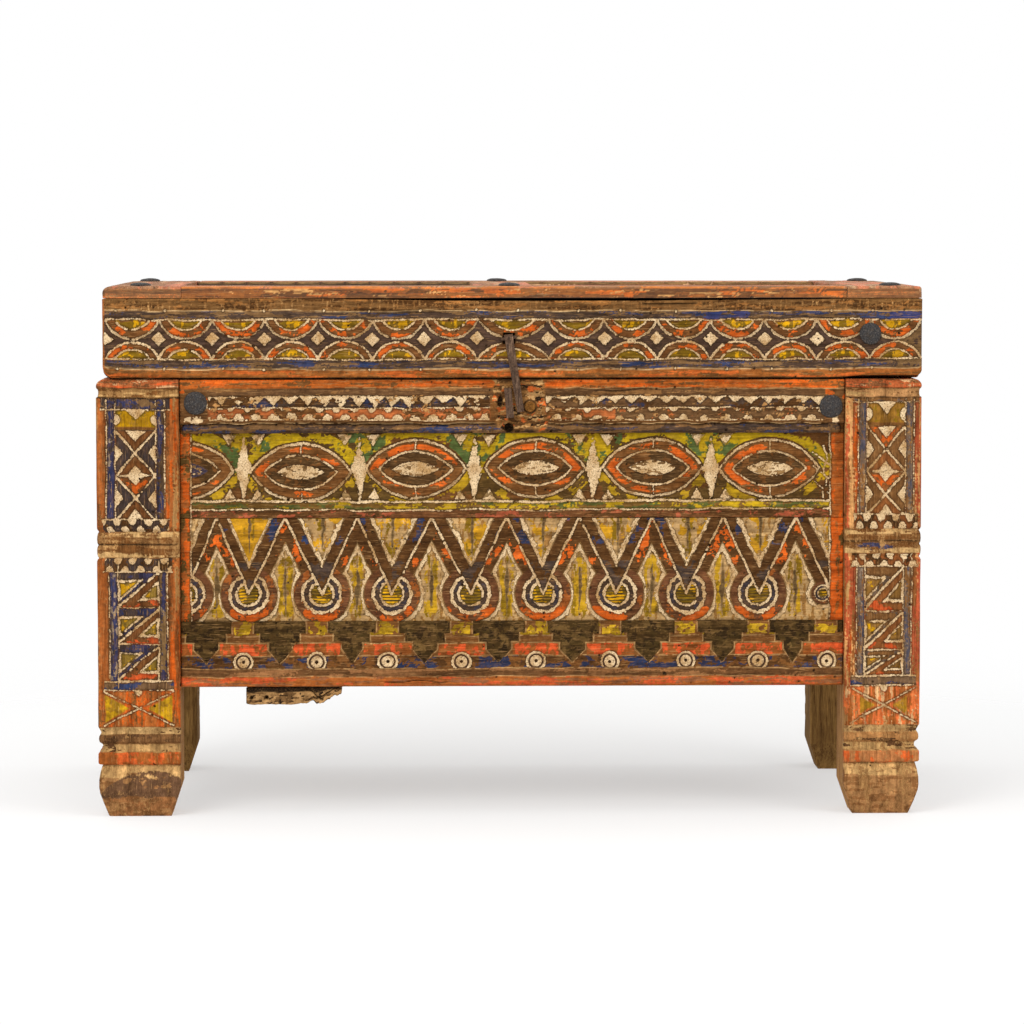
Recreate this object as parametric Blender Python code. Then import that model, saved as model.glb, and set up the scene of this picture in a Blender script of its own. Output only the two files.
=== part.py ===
"""Carved and painted wooden storage chest on four corner posts.

Units are metres. X runs along the chest, the front faces -Y, Z is up, and the floor is Z = 0.
The body is four moulded posts with rails and panel boards joined into them on every side.
The lid is a skirt of four boards under a framed and panelled top. It turns on two pairs of
linked iron eyes at the back, and an iron hasp hangs from it over a staple in the front rail.
"""
import math

import bmesh
import bpy
from mathutils import Matrix, Vector

# Body and posts
BODY_WIDTH = 1.000
BODY_DEPTH = 0.480
FRONT_Y = -0.247
BODY_TOP_Z = 0.532
POST_LEFT_WIDTH = 0.100
POST_RIGHT_WIDTH = 0.093
POST_DEPTH = 0.080

# Mouldings of a post, from the floor up
FOOT_TOE_INSET = 0.012
FOOT_WIDEST_Z = 0.0365
FOOT_NECK_Z = 0.0640
FOOT_NECK_INSET = 0.0050
FILLET_LOW_Z = 0.0650
FILLET_TOP_Z = 0.0790
COVE_LOW_Z = 0.0796
COVE_TOP_Z = 0.0894
COVE_INSET = 0.0050
BEAD_LOW_Z = 0.0905
BEAD_TOP_Z = 0.1010
BEAD_INSET = 0.0008
QUIRK_Z = 0.1030
QUIRK_INSET = 0.0035
SHAFT_LOW_Z = 0.1106
MID_BEAD_LOW_Z = 0.3160
MID_BEAD_TOP_Z = 0.3480
MID_QUIRK_INSET = 0.0025
MID_QUIRK_RUN = 0.0040
CAP_HIGH = 0.0215
CAP_COVE_HIGH = 0.0100
CAP_FOOT_INSET = 0.0018
CAP_ROUND = 0.0080
CAP_STEPS = 4

# Heights of the horizontal joints between the boards of a wall
BOTTOM_RAIL_LOW_Z = 0.1580
BOTTOM_RAIL_TOP_Z = 0.2370
PANEL_JOINT_Z = 0.3630
TOP_RAIL_LOW_Z = 0.4665

# Depths of the boards behind the outer face of the posts
TOP_RAIL_SET = 0.006
BOTTOM_RAIL_SET = 0.008
PANEL_SET = 0.014
WALL_BACK = 0.034
TENON_NEAR = 0.017
TENON_THICK = 0.012
TENON_LONG = 0.030
TENON_SHOULDER = 0.010
TONGUE_NEAR = 0.020
TONGUE_THICK = 0.008
TONGUE_LONG = 0.009
TONGUE_HIGH = 0.006
TONGUE_STOP = 0.004

# Floor of the chest and the plank nailed under it
FLOOR_THICK = 0.016
FLOOR_TONGUE_RISE = 0.004
FLOOR_TONGUE_THICK = 0.008
FLOOR_TONGUE_LONG = 0.008
FLOOR_BOARD_COUNT = 3
BEARER_FROM_LEFT = 0.1792
BEARER_WIDTH = 0.1160
BEARER_THICK = 0.0225
BEARER_SET = 0.012
BEARER_BREAK_LONG = 0.022
BEARER_BREAK_HIGH = 0.011

# Lid skirt
LID_LEFT_SET = 0.0085
LID_RIGHT_SET = 0.0005
LID_SET = 0.002
LID_SEAT_GAP = 0.0005
SKIRT_HIGH = 0.0972
SKIRT_THICK = 0.022
SKIRT_CORNER_RADIUS = 0.013
SKIRT_CHAMFER = 0.005
HOUSING_LONG = 0.008
HOUSING_THICK = 0.009
HOUSING_NEAR = 0.007
HOUSING_SHOULDER = 0.016

# Lid top frame and its panels
FRAME_THICK = 0.0145
END_RAIL_LEFT_WIDTH = 0.0950
END_RAIL_RIGHT_WIDTH = 0.0915
END_RAIL_ROUND = 0.009
FRONT_RAIL_WIDTH = 0.080
BACK_RAIL_WIDTH = 0.080
MUNTIN_LEFT_X = -0.0424
MUNTIN_WIDTH = 0.0730
FRAME_TENON_RISE = 0.0046
FRAME_TENON_THICK = 0.0048
FRAME_TENON_LONG = 0.025
FRAME_TENON_SHOULDER = 0.012
MUNTIN_TENON_LONG = 0.020
PANEL_TONGUE_LONG = 0.0075
PANEL_FIELD_DROP = 0.0036

# Linked eye hinges at the back
HINGE_FROM_END = 0.200
HINGE_BEHIND = 0.0105
EYE_RADIUS = 0.0062
EYE_WIRE_RADIUS = 0.0022
SPIKE_RADIUS = 0.0020
CLINCH_LONG = 0.014
SPIKE_ANGLE = math.radians(45.0)

# Hasp strap, the staple it hangs from and the pocket round its knuckle
HASP_X = -0.0015
HASP_RISE = 0.0490
HASP_TILT = math.radians(9.25)
HASP_LONG = 0.090
HASP_WIDTH = 0.0105
HASP_TIP_WIDTH = 0.0082
HASP_THICK = 0.0022
HASP_PIN_RADIUS = 0.0021
HASP_PIN_PLAY = 0.0005
HASP_PIN_BEHIND = 0.0010
HASP_PIN_HALF = 0.0078
HASP_LEG_LONG = 0.0160
KNUCKLE_TURN = math.radians(300.0)
POCKET_HALF_WIDTH = 0.0108
POCKET_HALF_HIGH = 0.0068
POCKET_DEEP = 0.0078

# Lock staple, the turned plug and the bolt hole in the front top rail
LOCK_X = -0.0014
LOCK_DROP = 0.0286
LOCK_TILT = math.radians(5.0)
LOCK_HIGH = 0.0360
LOCK_WIDTH = 0.0088
LOCK_THICK = 0.0030
LOCK_REACH = 0.0080
LOCK_LEG_LONG = 0.018
PLUG_X = 0.0242
PLUG_DROP = 0.0334
PLUG_RADIUS = 0.0063
PLUG_PROUD = 0.0012
PLUG_LONG = 0.012
BOLT_HOLE_X = -0.0012
BOLT_HOLE_DROP = 0.0593
BOLT_HOLE_RADIUS = 0.0050
BOLT_HOLE_DEEP = 0.010

# Forged iron dome nails
LID_DOME_RADIUS = 0.0135
RAIL_DOME_RADIUS = 0.0145
DOME_HIGH = 0.0040
NAIL_RADIUS = 0.0020
NAIL_LONG = 0.0110
LEFT_DOME_FRONT_IN = 0.0435
LEFT_DOME_BACK_IN = 0.0315
MUNTIN_DOME_FRONT_IN = 0.0424
MUNTIN_DOME_BACK_IN = 0.0368
RIGHT_DOME_FRONT_IN = 0.0338
RIGHT_DOME_BACK_IN = 0.0305
END_DOME_FRONT_SET = 0.050
END_DOME_BACK_SET = 0.045
MUNTIN_DOME_SET = 0.040
SKIRT_DOME_IN = 0.0629
SKIRT_DOME_RISE = 0.0542
RAIL_DOME_LEFT_IN = 0.0200
RAIL_DOME_LEFT_DROP = 0.0286
RAIL_DOME_RIGHT_IN = 0.0172
RAIL_DOME_RIGHT_DROP = 0.0334

# Clearances and facets
FIT = 0.0003
OVERLAP = 0.002
ROUND_SIDES = 10
DOME_SIDES = 20
EYE_SIDES = 18

LEFT_X = -BODY_WIDTH / 2
RIGHT_X = BODY_WIDTH / 2
BACK_Y = FRONT_Y + BODY_DEPTH
LID_FRONT_Y = FRONT_Y + LID_SET
LID_BACK_Y = BACK_Y - LID_SET
LID_LEFT_X = LEFT_X + LID_LEFT_SET
LID_RIGHT_X = RIGHT_X - LID_RIGHT_SET
LID_LOW_Z = BODY_TOP_Z + LID_SEAT_GAP
SKIRT_TOP_Z = LID_LOW_Z + SKIRT_HIGH
FRAME_LOW_Z = SKIRT_TOP_Z + FIT
FRAME_TOP_Z = FRAME_LOW_Z + FRAME_THICK
HINGE_X = BODY_WIDTH / 2 - HINGE_FROM_END
HINGE_Y = BACK_Y + HINGE_BEHIND
HINGE_Z = LID_LOW_Z
HASP_Y = LID_FRONT_Y + HASP_PIN_BEHIND
HASP_Z = LID_LOW_Z + HASP_RISE
BEARER_LEFT_X = LEFT_X + BEARER_FROM_LEFT
LOCK_Z = BODY_TOP_Z - LOCK_DROP
PLUG_Z = BODY_TOP_Z - PLUG_DROP
BOLT_HOLE_Z = BODY_TOP_Z - BOLT_HOLE_DROP
LEFT_DOME_FRONT_X = LID_LEFT_X + LEFT_DOME_FRONT_IN
LEFT_DOME_BACK_X = LID_LEFT_X + LEFT_DOME_BACK_IN
MUNTIN_DOME_FRONT_X = MUNTIN_LEFT_X + MUNTIN_DOME_FRONT_IN
MUNTIN_DOME_BACK_X = MUNTIN_LEFT_X + MUNTIN_DOME_BACK_IN
RIGHT_DOME_FRONT_X = LID_RIGHT_X - RIGHT_DOME_FRONT_IN
RIGHT_DOME_BACK_X = LID_RIGHT_X - RIGHT_DOME_BACK_IN
SKIRT_DOME_X = LID_RIGHT_X - SKIRT_DOME_IN
SKIRT_DOME_Z = LID_LOW_Z + SKIRT_DOME_RISE
RAIL_DOME_LEFT_X = LEFT_X + POST_LEFT_WIDTH + RAIL_DOME_LEFT_IN
RAIL_DOME_LEFT_Z = BODY_TOP_Z - RAIL_DOME_LEFT_DROP
RAIL_DOME_RIGHT_X = RIGHT_X - POST_RIGHT_WIDTH - RAIL_DOME_RIGHT_IN
RAIL_DOME_RIGHT_Z = BODY_TOP_Z - RAIL_DOME_RIGHT_DROP

PAINTED = (0.30, 0.16, 0.07)
BARE = (0.26, 0.16, 0.08)
DARK = (0.13, 0.08, 0.04)
IRON = (0.05, 0.05, 0.055)


def clear_scene():
    """Remove every object that is in the scene at the start."""
    for old in list(bpy.data.objects):
        bpy.data.objects.remove(old, do_unlink=True)


def give_material(obj, colour, roughness, metallic):
    """Give a piece its own principled material."""
    material = bpy.data.materials.new(obj.name + "_material")
    material.use_nodes = True
    shader = material.node_tree.nodes["Principled BSDF"]
    shader.inputs["Base Color"].default_value = (*colour, 1.0)
    shader.inputs["Roughness"].default_value = roughness
    shader.inputs["Metallic"].default_value = metallic
    obj.data.materials.clear()
    obj.data.materials.append(material)


def mesh_object(name, bm):
    """Turn a bmesh into a linked object with outward faces."""
    bmesh.ops.recalc_face_normals(bm, faces=bm.faces)
    mesh = bpy.data.meshes.new(name)
    bm.to_mesh(mesh)
    bm.free()
    obj = bpy.data.objects.new(name, mesh)
    bpy.context.collection.objects.link(obj)
    return obj


def boxes_object(name, boxes):
    """One mesh holding a separate box for each (low, high) pair."""
    bm = bmesh.new()
    for low, high in boxes:
        centre = [(a + b) / 2 for a, b in zip(low, high)]
        size = [b - a for a, b in zip(low, high)]
        matrix = Matrix.Translation(centre) @ Matrix.Diagonal((*size, 1.0))
        bmesh.ops.create_cube(bm, size=1.0, matrix=matrix)
    return mesh_object(name, bm)


def combine(target, tool, operation):
    """Apply an exact boolean of the tool to the target and drop the tool."""
    modifier = target.modifiers.new("joint", "BOOLEAN")
    modifier.operation = operation
    modifier.solver = "EXACT"
    modifier.object = tool
    bpy.context.view_layer.objects.active = target
    bpy.ops.object.modifier_apply(modifier=modifier.name)
    bpy.data.objects.remove(tool, do_unlink=True)


def add_boxes(target, boxes):
    """Join boxes such as tongues and tenons to a board."""
    if boxes:
        combine(target, boxes_object("tongues", boxes), "UNION")


def cut_boxes(target, boxes):
    """Cut boxes such as grooves and mortises from a board."""
    if boxes:
        combine(target, boxes_object("grooves", boxes), "DIFFERENCE")


def loft(name, rings):
    """Bridge equal rings of points in order and cap both ends."""
    bm = bmesh.new()
    loops = [[bm.verts.new(point) for point in ring] for ring in rings]
    for lower, upper in zip(loops, loops[1:]):
        for index in range(len(lower)):
            after = (index + 1) % len(lower)
            bm.faces.new((lower[index], lower[after], upper[after], upper[index]))
    bm.faces.new(list(reversed(loops[0])))
    bm.faces.new(loops[-1])
    return mesh_object(name, bm)


def prism(name, outline, y_low, y_high):
    """Carry a convex outline of (x, z) points from one y to another."""
    return loft(name, [[(x, y, z) for x, z in outline] for y in (y_low, y_high)])


def sweep(name, path, normal, sections):
    """Carry a section of (side, normal) offsets along a flat path with mitred corners."""
    rings = []
    last = len(path) - 1
    for index, point in enumerate(path):
        before = point - path[index - 1] if index > 0 else path[1] - path[0]
        after = path[index + 1] - point if index < last else before
        tangent = (before.normalized() + after.normalized()).normalized()
        mitre = 1.0 / tangent.dot(after.normalized())
        side = tangent.cross(normal)
        section = sections[index]
        rings.append([point + side * (s * mitre) + normal * n for s, n in section])
    return loft(name, rings)


def round_section(radius):
    """Regular polygon section of a round wire."""
    steps = [2 * math.pi * k / ROUND_SIDES for k in range(ROUND_SIDES)]
    return [(radius * math.cos(a), radius * math.sin(a)) for a in steps]


def flat_section(width, thick):
    """Rectangular section of a flat bar: thickness to the side, width along the normal."""
    s = thick / 2
    n = width / 2
    return [(-s, -n), (s, -n), (s, n), (-s, n)]


def rod(start, end, radius):
    """Straight round rod between two points."""
    start = Vector(start)
    end = Vector(end)
    normal = (end - start).orthogonal().normalized()
    section = round_section(radius)
    return sweep("rod", [start, end], normal, [section, section])


def drill(target, start, end, radius):
    """Cut a round hole between two points, a fit larger than what goes in it."""
    combine(target, rod(start, end, radius + FIT), "DIFFERENCE")


def shade_smooth(obj):
    """Smooth shading for a round piece."""
    for face in obj.data.polygons:
        face.use_smooth = True


def rounded_corner(corner_x, corner_z, toward_x, toward_z, radius, steps):
    """Points of a rounded outline corner, from the toward_x side to the toward_z side."""
    centre_x = corner_x + toward_x * radius
    centre_z = corner_z + toward_z * radius
    points = []
    for step in range(steps + 1):
        angle = math.pi / 2 * step / steps
        x = centre_x - toward_x * radius * math.sin(angle)
        z = centre_z - toward_z * radius * math.cos(angle)
        points.append((x, z))
    return points


def wall_box(side, along, depth, height):
    """Box given along a wall, inward from the posts' outer face, and up, in world axes."""
    if side == "front":
        xs = along
        ys = (FRONT_Y + depth[0], FRONT_Y + depth[1])
    elif side == "back":
        xs = along
        ys = (BACK_Y - depth[1], BACK_Y - depth[0])
    elif side == "left":
        xs = (LEFT_X + depth[0], LEFT_X + depth[1])
        ys = along
    else:
        xs = (RIGHT_X - depth[1], RIGHT_X - depth[0])
        ys = along
    return ((xs[0], ys[0], height[0]), (xs[1], ys[1], height[1]))


def grow(span, amount):
    """Widen a (low, high) span by an amount at both ends."""
    return (span[0] - amount, span[1] + amount)


def make_wall(side, span, posts, post_cuts, extra_cuts):
    """Top rail, two panel boards and bottom rail of one wall, with the cuts its posts need."""
    low, high = span
    inner = (low + FIT, high - FIT)
    tenon_depth = (TENON_NEAR, TENON_NEAR + TENON_THICK)
    tongue_depth = (TONGUE_NEAR, TONGUE_NEAR + TONGUE_THICK)
    edge_tongue = (inner[0] + TONGUE_STOP, inner[1] - TONGUE_STOP)
    rails = (
        ("top_rail", TOP_RAIL_SET, TOP_RAIL_LOW_Z, BODY_TOP_Z),
        ("bottom_rail", BOTTOM_RAIL_SET, BOTTOM_RAIL_LOW_Z, BOTTOM_RAIL_TOP_Z),
    )
    panels = (
        ("upper_panel", PANEL_JOINT_Z, TOP_RAIL_LOW_Z),
        ("lower_panel", BOTTOM_RAIL_TOP_Z, PANEL_JOINT_Z),
    )
    made = {}
    for part, near, z_low, z_high in rails:
        name = side + "_" + part
        core = wall_box(side, inner, (near, WALL_BACK), (z_low, z_high))
        board = boxes_object(name, [core])
        tenon_z = (z_low + TENON_SHOULDER, z_high - TENON_SHOULDER)
        low_tenon = (low - TENON_LONG, inner[0] + OVERLAP)
        high_tenon = (inner[1] - OVERLAP, high + TENON_LONG)
        add_boxes(board, [
            wall_box(side, low_tenon, tenon_depth, tenon_z),
            wall_box(side, high_tenon, tenon_depth, tenon_z),
        ])
        mortise_depth = grow(tenon_depth, FIT)
        mortise_z = grow(tenon_z, FIT)
        low_mortise = (low - TENON_LONG - FIT, low + OVERLAP)
        high_mortise = (high - OVERLAP, high + TENON_LONG + FIT)
        post_cuts[posts[0]].append(wall_box(side, low_mortise, mortise_depth, mortise_z))
        post_cuts[posts[1]].append(wall_box(side, high_mortise, mortise_depth, mortise_z))
        if part == "top_rail":
            groove_z = (z_low - OVERLAP, z_low + TONGUE_HIGH + FIT)
        else:
            groove_z = (z_high - TONGUE_HIGH - FIT, z_high + OVERLAP)
        groove = wall_box(side, grow(inner, OVERLAP), grow(tongue_depth, FIT), groove_z)
        cut_boxes(board, [groove] + extra_cuts.get(name, []))
        made[part] = board
    for part, z_low, z_high in panels:
        name = side + "_" + part
        z_span = (z_low + FIT, z_high - FIT)
        core = wall_box(side, inner, (PANEL_SET, WALL_BACK), z_span)
        board = boxes_object(name, [core])
        end_z = (z_span[0] + TONGUE_STOP, z_span[1] - TONGUE_STOP)
        if part == "lower_panel":
            end_z = (z_span[0] + TONGUE_STOP, z_span[1] - TONGUE_STOP)
            cuts = []
        else:
            end_z = (z_span[0] + TONGUE_HIGH + TONGUE_STOP, z_span[1] - TONGUE_STOP)
            groove_z = (z_span[0] - OVERLAP, z_span[0] + TONGUE_HIGH + FIT)
            cuts = [wall_box(side, grow(inner, OVERLAP), grow(tongue_depth, FIT), groove_z)]
        tongues = [
            wall_box(side, (low - TONGUE_LONG, inner[0] + OVERLAP), tongue_depth, end_z),
            wall_box(side, (inner[1] - OVERLAP, high + TONGUE_LONG), tongue_depth, end_z),
            wall_box(side, edge_tongue, tongue_depth, (z_span[1] - OVERLAP, z_high + TONGUE_HIGH)),
        ]
        if part == "lower_panel":
            low_edge = (z_low - TONGUE_HIGH, z_span[0] + OVERLAP)
            tongues.append(wall_box(side, edge_tongue, tongue_depth, low_edge))
        add_boxes(board, tongues)
        cut_boxes(board, cuts)
        made[part] = board
    groove_z = (BOTTOM_RAIL_TOP_Z, TOP_RAIL_LOW_Z)
    groove_depth = grow(tongue_depth, FIT)
    low_groove = (low - TONGUE_LONG - FIT, low + OVERLAP)
    high_groove = (high - OVERLAP, high + TONGUE_LONG + FIT)
    post_cuts[posts[0]].append(wall_box(side, low_groove, groove_depth, groove_z))
    post_cuts[posts[1]].append(wall_box(side, high_groove, groove_depth, groove_z))
    for board in made.values():
        give_material(board, PAINTED if side == "front" else BARE, 0.75, 0.0)
    return made


def make_post(name, side_x, side_y, width, cuts):
    """Moulded corner post: rings of four corners, mouldings on the two outer faces only."""
    outer_x = side_x * BODY_WIDTH / 2
    outer_y = FRONT_Y if side_y < 0 else BACK_Y
    inner_x = outer_x - side_x * width
    inner_y = outer_y - side_y * POST_DEPTH
    stations = (
        (0.0, FOOT_TOE_INSET, FOOT_TOE_INSET),
        (FOOT_WIDEST_Z, 0.0, 0.0),
        (FOOT_NECK_Z, FOOT_NECK_INSET, 0.0),
        (FILLET_LOW_Z, 0.0, 0.0),
        (FILLET_TOP_Z, 0.0, 0.0),
        (COVE_LOW_Z, COVE_INSET, 0.0),
        (COVE_TOP_Z, COVE_INSET, 0.0),
        (BEAD_LOW_Z, BEAD_INSET, 0.0),
        (BEAD_TOP_Z, BEAD_INSET, 0.0),
        (QUIRK_Z, QUIRK_INSET, 0.0),
        (SHAFT_LOW_Z, 0.0, 0.0),
        (MID_BEAD_LOW_Z - MID_QUIRK_RUN, 0.0, 0.0),
        (MID_BEAD_LOW_Z, MID_QUIRK_INSET, 0.0),
        (MID_BEAD_LOW_Z + MID_QUIRK_RUN, 0.0, 0.0),
        (MID_BEAD_TOP_Z - MID_QUIRK_RUN, 0.0, 0.0),
        (MID_BEAD_TOP_Z, MID_QUIRK_INSET, 0.0),
        (MID_BEAD_TOP_Z + MID_QUIRK_RUN, 0.0, 0.0),
        (BODY_TOP_Z - CAP_HIGH, 0.0, 0.0),
        (BODY_TOP_Z - CAP_HIGH + FIT, CAP_FOOT_INSET, 0.0),
        (BODY_TOP_Z - CAP_HIGH + CAP_COVE_HIGH, CAP_FOOT_INSET, 0.0),
    )
    turns = [math.pi / 2 * step / CAP_STEPS for step in range(CAP_STEPS + 1)]
    nosing = [(BODY_TOP_Z - CAP_ROUND * (1 - math.sin(turn)), CAP_ROUND * (1 - math.cos(turn)), 0.0) for turn in turns]
    stations = (*stations, *nosing)
    rings = []
    for z, outer, inner in stations:
        x_out = outer_x - side_x * outer
        y_out = outer_y - side_y * outer
        x_in = inner_x + side_x * inner
        y_in = inner_y + side_y * inner
        rings.append([(x_out, y_out, z), (x_in, y_out, z), (x_in, y_in, z), (x_out, y_in, z)])
    post = loft(name, rings)
    cut_boxes(post, cuts)
    give_material(post, PAINTED if side_y < 0 else BARE, 0.78, 0.0)
    return post


def make_floor():
    """Floor boards laid along the chest, tongued into the end walls and notched round the posts."""
    y_low = FRONT_Y + WALL_BACK + FIT
    y_high = BACK_Y - WALL_BACK - FIT
    width = (y_high - y_low) / FLOOR_BOARD_COUNT
    z_span = (BOTTOM_RAIL_LOW_Z, BOTTOM_RAIL_LOW_Z + FLOOR_THICK)
    tongue_low = BOTTOM_RAIL_LOW_Z + FLOOR_TONGUE_RISE
    tongue_z = (tongue_low, tongue_low + FLOOR_TONGUE_THICK)
    between_posts = (LEFT_X + POST_LEFT_WIDTH + FIT, RIGHT_X - POST_RIGHT_WIDTH - FIT)
    end_walls = (LEFT_X + WALL_BACK + FIT, RIGHT_X - WALL_BACK - FIT)
    post_clear = (FRONT_Y + POST_DEPTH + FIT, BACK_Y - POST_DEPTH - FIT)
    names = ("floor_board_front", "floor_board_middle", "floor_board_back")
    for index, name in enumerate(names):
        y0 = y_low + index * width + FIT / 2
        y1 = y_low + (index + 1) * width - FIT / 2
        wing_y = (max(y0, post_clear[0]), min(y1, post_clear[1]))
        if index == 1:
            core_x = end_walls
        else:
            core_x = between_posts
        board = boxes_object(name, [((core_x[0], y0, z_span[0]), (core_x[1], y1, z_span[1]))])
        if index != 1:
            add_boxes(board, [
                ((end_walls[0], wing_y[0], z_span[0]), (core_x[0] + OVERLAP, wing_y[1], z_span[1])),
                ((core_x[1] - OVERLAP, wing_y[0], z_span[0]), (end_walls[1], wing_y[1], z_span[1])),
            ])
        tongue_y = (wing_y[0] + TONGUE_STOP, wing_y[1] - TONGUE_STOP)
        add_boxes(board, [
            ((end_walls[0] - FIT - FLOOR_TONGUE_LONG, tongue_y[0], tongue_z[0]),
             (end_walls[0] + OVERLAP, tongue_y[1], tongue_z[1])),
            ((end_walls[1] - OVERLAP, tongue_y[0], tongue_z[0]),
             (end_walls[1] + FIT + FLOOR_TONGUE_LONG, tongue_y[1], tongue_z[1])),
        ])
        give_material(board, BARE, 0.85, 0.0)


def floor_grooves():
    """Grooves in the end walls' bottom rails that hold the floor tongues."""
    z_low = BOTTOM_RAIL_LOW_Z + FLOOR_TONGUE_RISE
    height = grow((z_low, z_low + FLOOR_TONGUE_THICK), FIT)
    depth = (WALL_BACK - FLOOR_TONGUE_LONG - FIT, WALL_BACK + OVERLAP)
    along = (FRONT_Y + POST_DEPTH + TONGUE_STOP, BACK_Y - POST_DEPTH - TONGUE_STOP)
    return {
        "left_bottom_rail": [wall_box("left", along, depth, height)],
        "right_bottom_rail": [wall_box("right", along, depth, height)],
    }


def make_bearer():
    """Rough plank under the floor, front to back, with a broken lower corner at the front."""
    x0 = BEARER_LEFT_X
    x1 = BEARER_LEFT_X + BEARER_WIDTH
    z1 = BOTTOM_RAIL_LOW_Z - FIT
    z0 = z1 - BEARER_THICK
    outline = [(x0, z0), (x1 - BEARER_BREAK_LONG, z0), (x1, z0 + BEARER_BREAK_HIGH), (x1, z1), (x0, z1)]
    plank = prism("floor_bearer", outline, FRONT_Y + BEARER_SET, BACK_Y - BEARER_SET)
    give_material(plank, BARE, 0.9, 0.0)


def dome_profile(radius):
    """Half outline of a domed nail: crown, rim, flat underside, shank, in (radius, height)."""
    steps = 5
    points = []
    for step in range(steps + 1):
        angle = math.pi / 2 * step / steps
        points.append((radius * math.sin(angle), FIT + (DOME_HIGH - FIT) * math.cos(angle)))
    points.append((NAIL_RADIUS, FIT))
    points.append((NAIL_RADIUS, -NAIL_LONG))
    points.append((0.0, -NAIL_LONG))
    return points


def make_dome(name, radius, foot, outward, into):
    """Forged domed nail seated on a face, and the hole it needs in the piece under it."""
    foot = Vector(foot)
    outward = Vector(outward)
    bm = bmesh.new()
    profile = [bm.verts.new((r, 0.0, h)) for r, h in dome_profile(radius)]
    edges = [bm.edges.new(pair) for pair in zip(profile, profile[1:])]
    bmesh.ops.spin(bm, geom=profile + edges, cent=(0, 0, 0), axis=(0, 0, 1),
                   angle=2 * math.pi, steps=DOME_SIDES, use_duplicate=False)
    bmesh.ops.remove_doubles(bm, verts=bm.verts, dist=0.00001)
    turn = Vector((0, 0, 1)).rotation_difference(outward).to_matrix().to_4x4()
    bmesh.ops.transform(bm, matrix=Matrix.Translation(foot) @ turn, verts=bm.verts)
    dome = mesh_object(name, bm)
    shade_smooth(dome)
    give_material(dome, IRON, 0.55, 0.8)
    drill(into, foot + outward * OVERLAP, foot - outward * (NAIL_LONG + FIT), NAIL_RADIUS)
    return dome


def make_eye(name, centre, ring_normal, spike_from, spike_way, wall_y, clinch_way):
    """Iron eye: a ring with one spike driven through a board and turned over on its inner face."""
    centre = Vector(centre)
    normal = Vector(ring_normal).normalized()
    first = normal.orthogonal().normalized()
    second = normal.cross(first)
    bm = bmesh.new()
    loops = []
    for step in range(EYE_SIDES):
        angle = 2 * math.pi * step / EYE_SIDES
        outward = first * math.cos(angle) + second * math.sin(angle)
        middle = centre + outward * EYE_RADIUS
        loops.append([bm.verts.new(middle + outward * s + normal * n)
                      for s, n in round_section(EYE_WIRE_RADIUS)])
    for index in range(EYE_SIDES):
        lower = loops[index]
        upper = loops[(index + 1) % EYE_SIDES]
        for corner in range(ROUND_SIDES):
            after = (corner + 1) % ROUND_SIDES
            bm.faces.new((lower[corner], lower[after], upper[after], upper[corner]))
    eye = mesh_object(name, bm)
    start = Vector(spike_from)
    way = Vector(spike_way).normalized()
    turn_y = wall_y - SPIKE_RADIUS - FIT
    turn = start + way * ((turn_y - start.y) / way.y)
    end = turn + Vector((0, 0, clinch_way * CLINCH_LONG))
    section = round_section(SPIKE_RADIUS)
    spike = sweep("spike", [start, turn, end], Vector((1, 0, 0)), [section] * 3)
    combine(eye, spike, "UNION")
    shade_smooth(eye)
    give_material(eye, IRON, 0.6, 0.8)
    return eye, start, turn


def make_hinges(back_rail, lid_back):
    """Two pairs of linked eyes: the lid's eye passes through the body's eye on the hinge axis."""
    made = []
    down = Vector((0, -math.cos(SPIKE_ANGLE), -math.sin(SPIKE_ANGLE)))
    up = Vector((0, -math.cos(SPIKE_ANGLE), math.sin(SPIKE_ANGLE)))
    for label, x in (("left", -HINGE_X), ("right", HINGE_X)):
        axis_point = Vector((x, HINGE_Y, HINGE_Z))
        rail_start = axis_point + down * EYE_RADIUS
        body_eye, start, turn = make_eye("hinge_eye_" + label, axis_point, (1, 0, 0), rail_start,
                                         down, BACK_Y - WALL_BACK, -1)
        drill(back_rail, start, turn + down * OVERLAP, SPIKE_RADIUS)
        lid_centre = axis_point + up * EYE_RADIUS
        lid_start = axis_point + up * (2 * EYE_RADIUS)
        across = up.cross(Vector((1, 0, 0)))
        lid_eye, start, turn = make_eye("hinge_loop_" + label, lid_centre, across, lid_start,
                                        up, LID_BACK_Y - SKIRT_THICK, 1)
        drill(lid_back, start, turn + up * OVERLAP, SPIKE_RADIUS)
        made.append(lid_eye)
    return made


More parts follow.
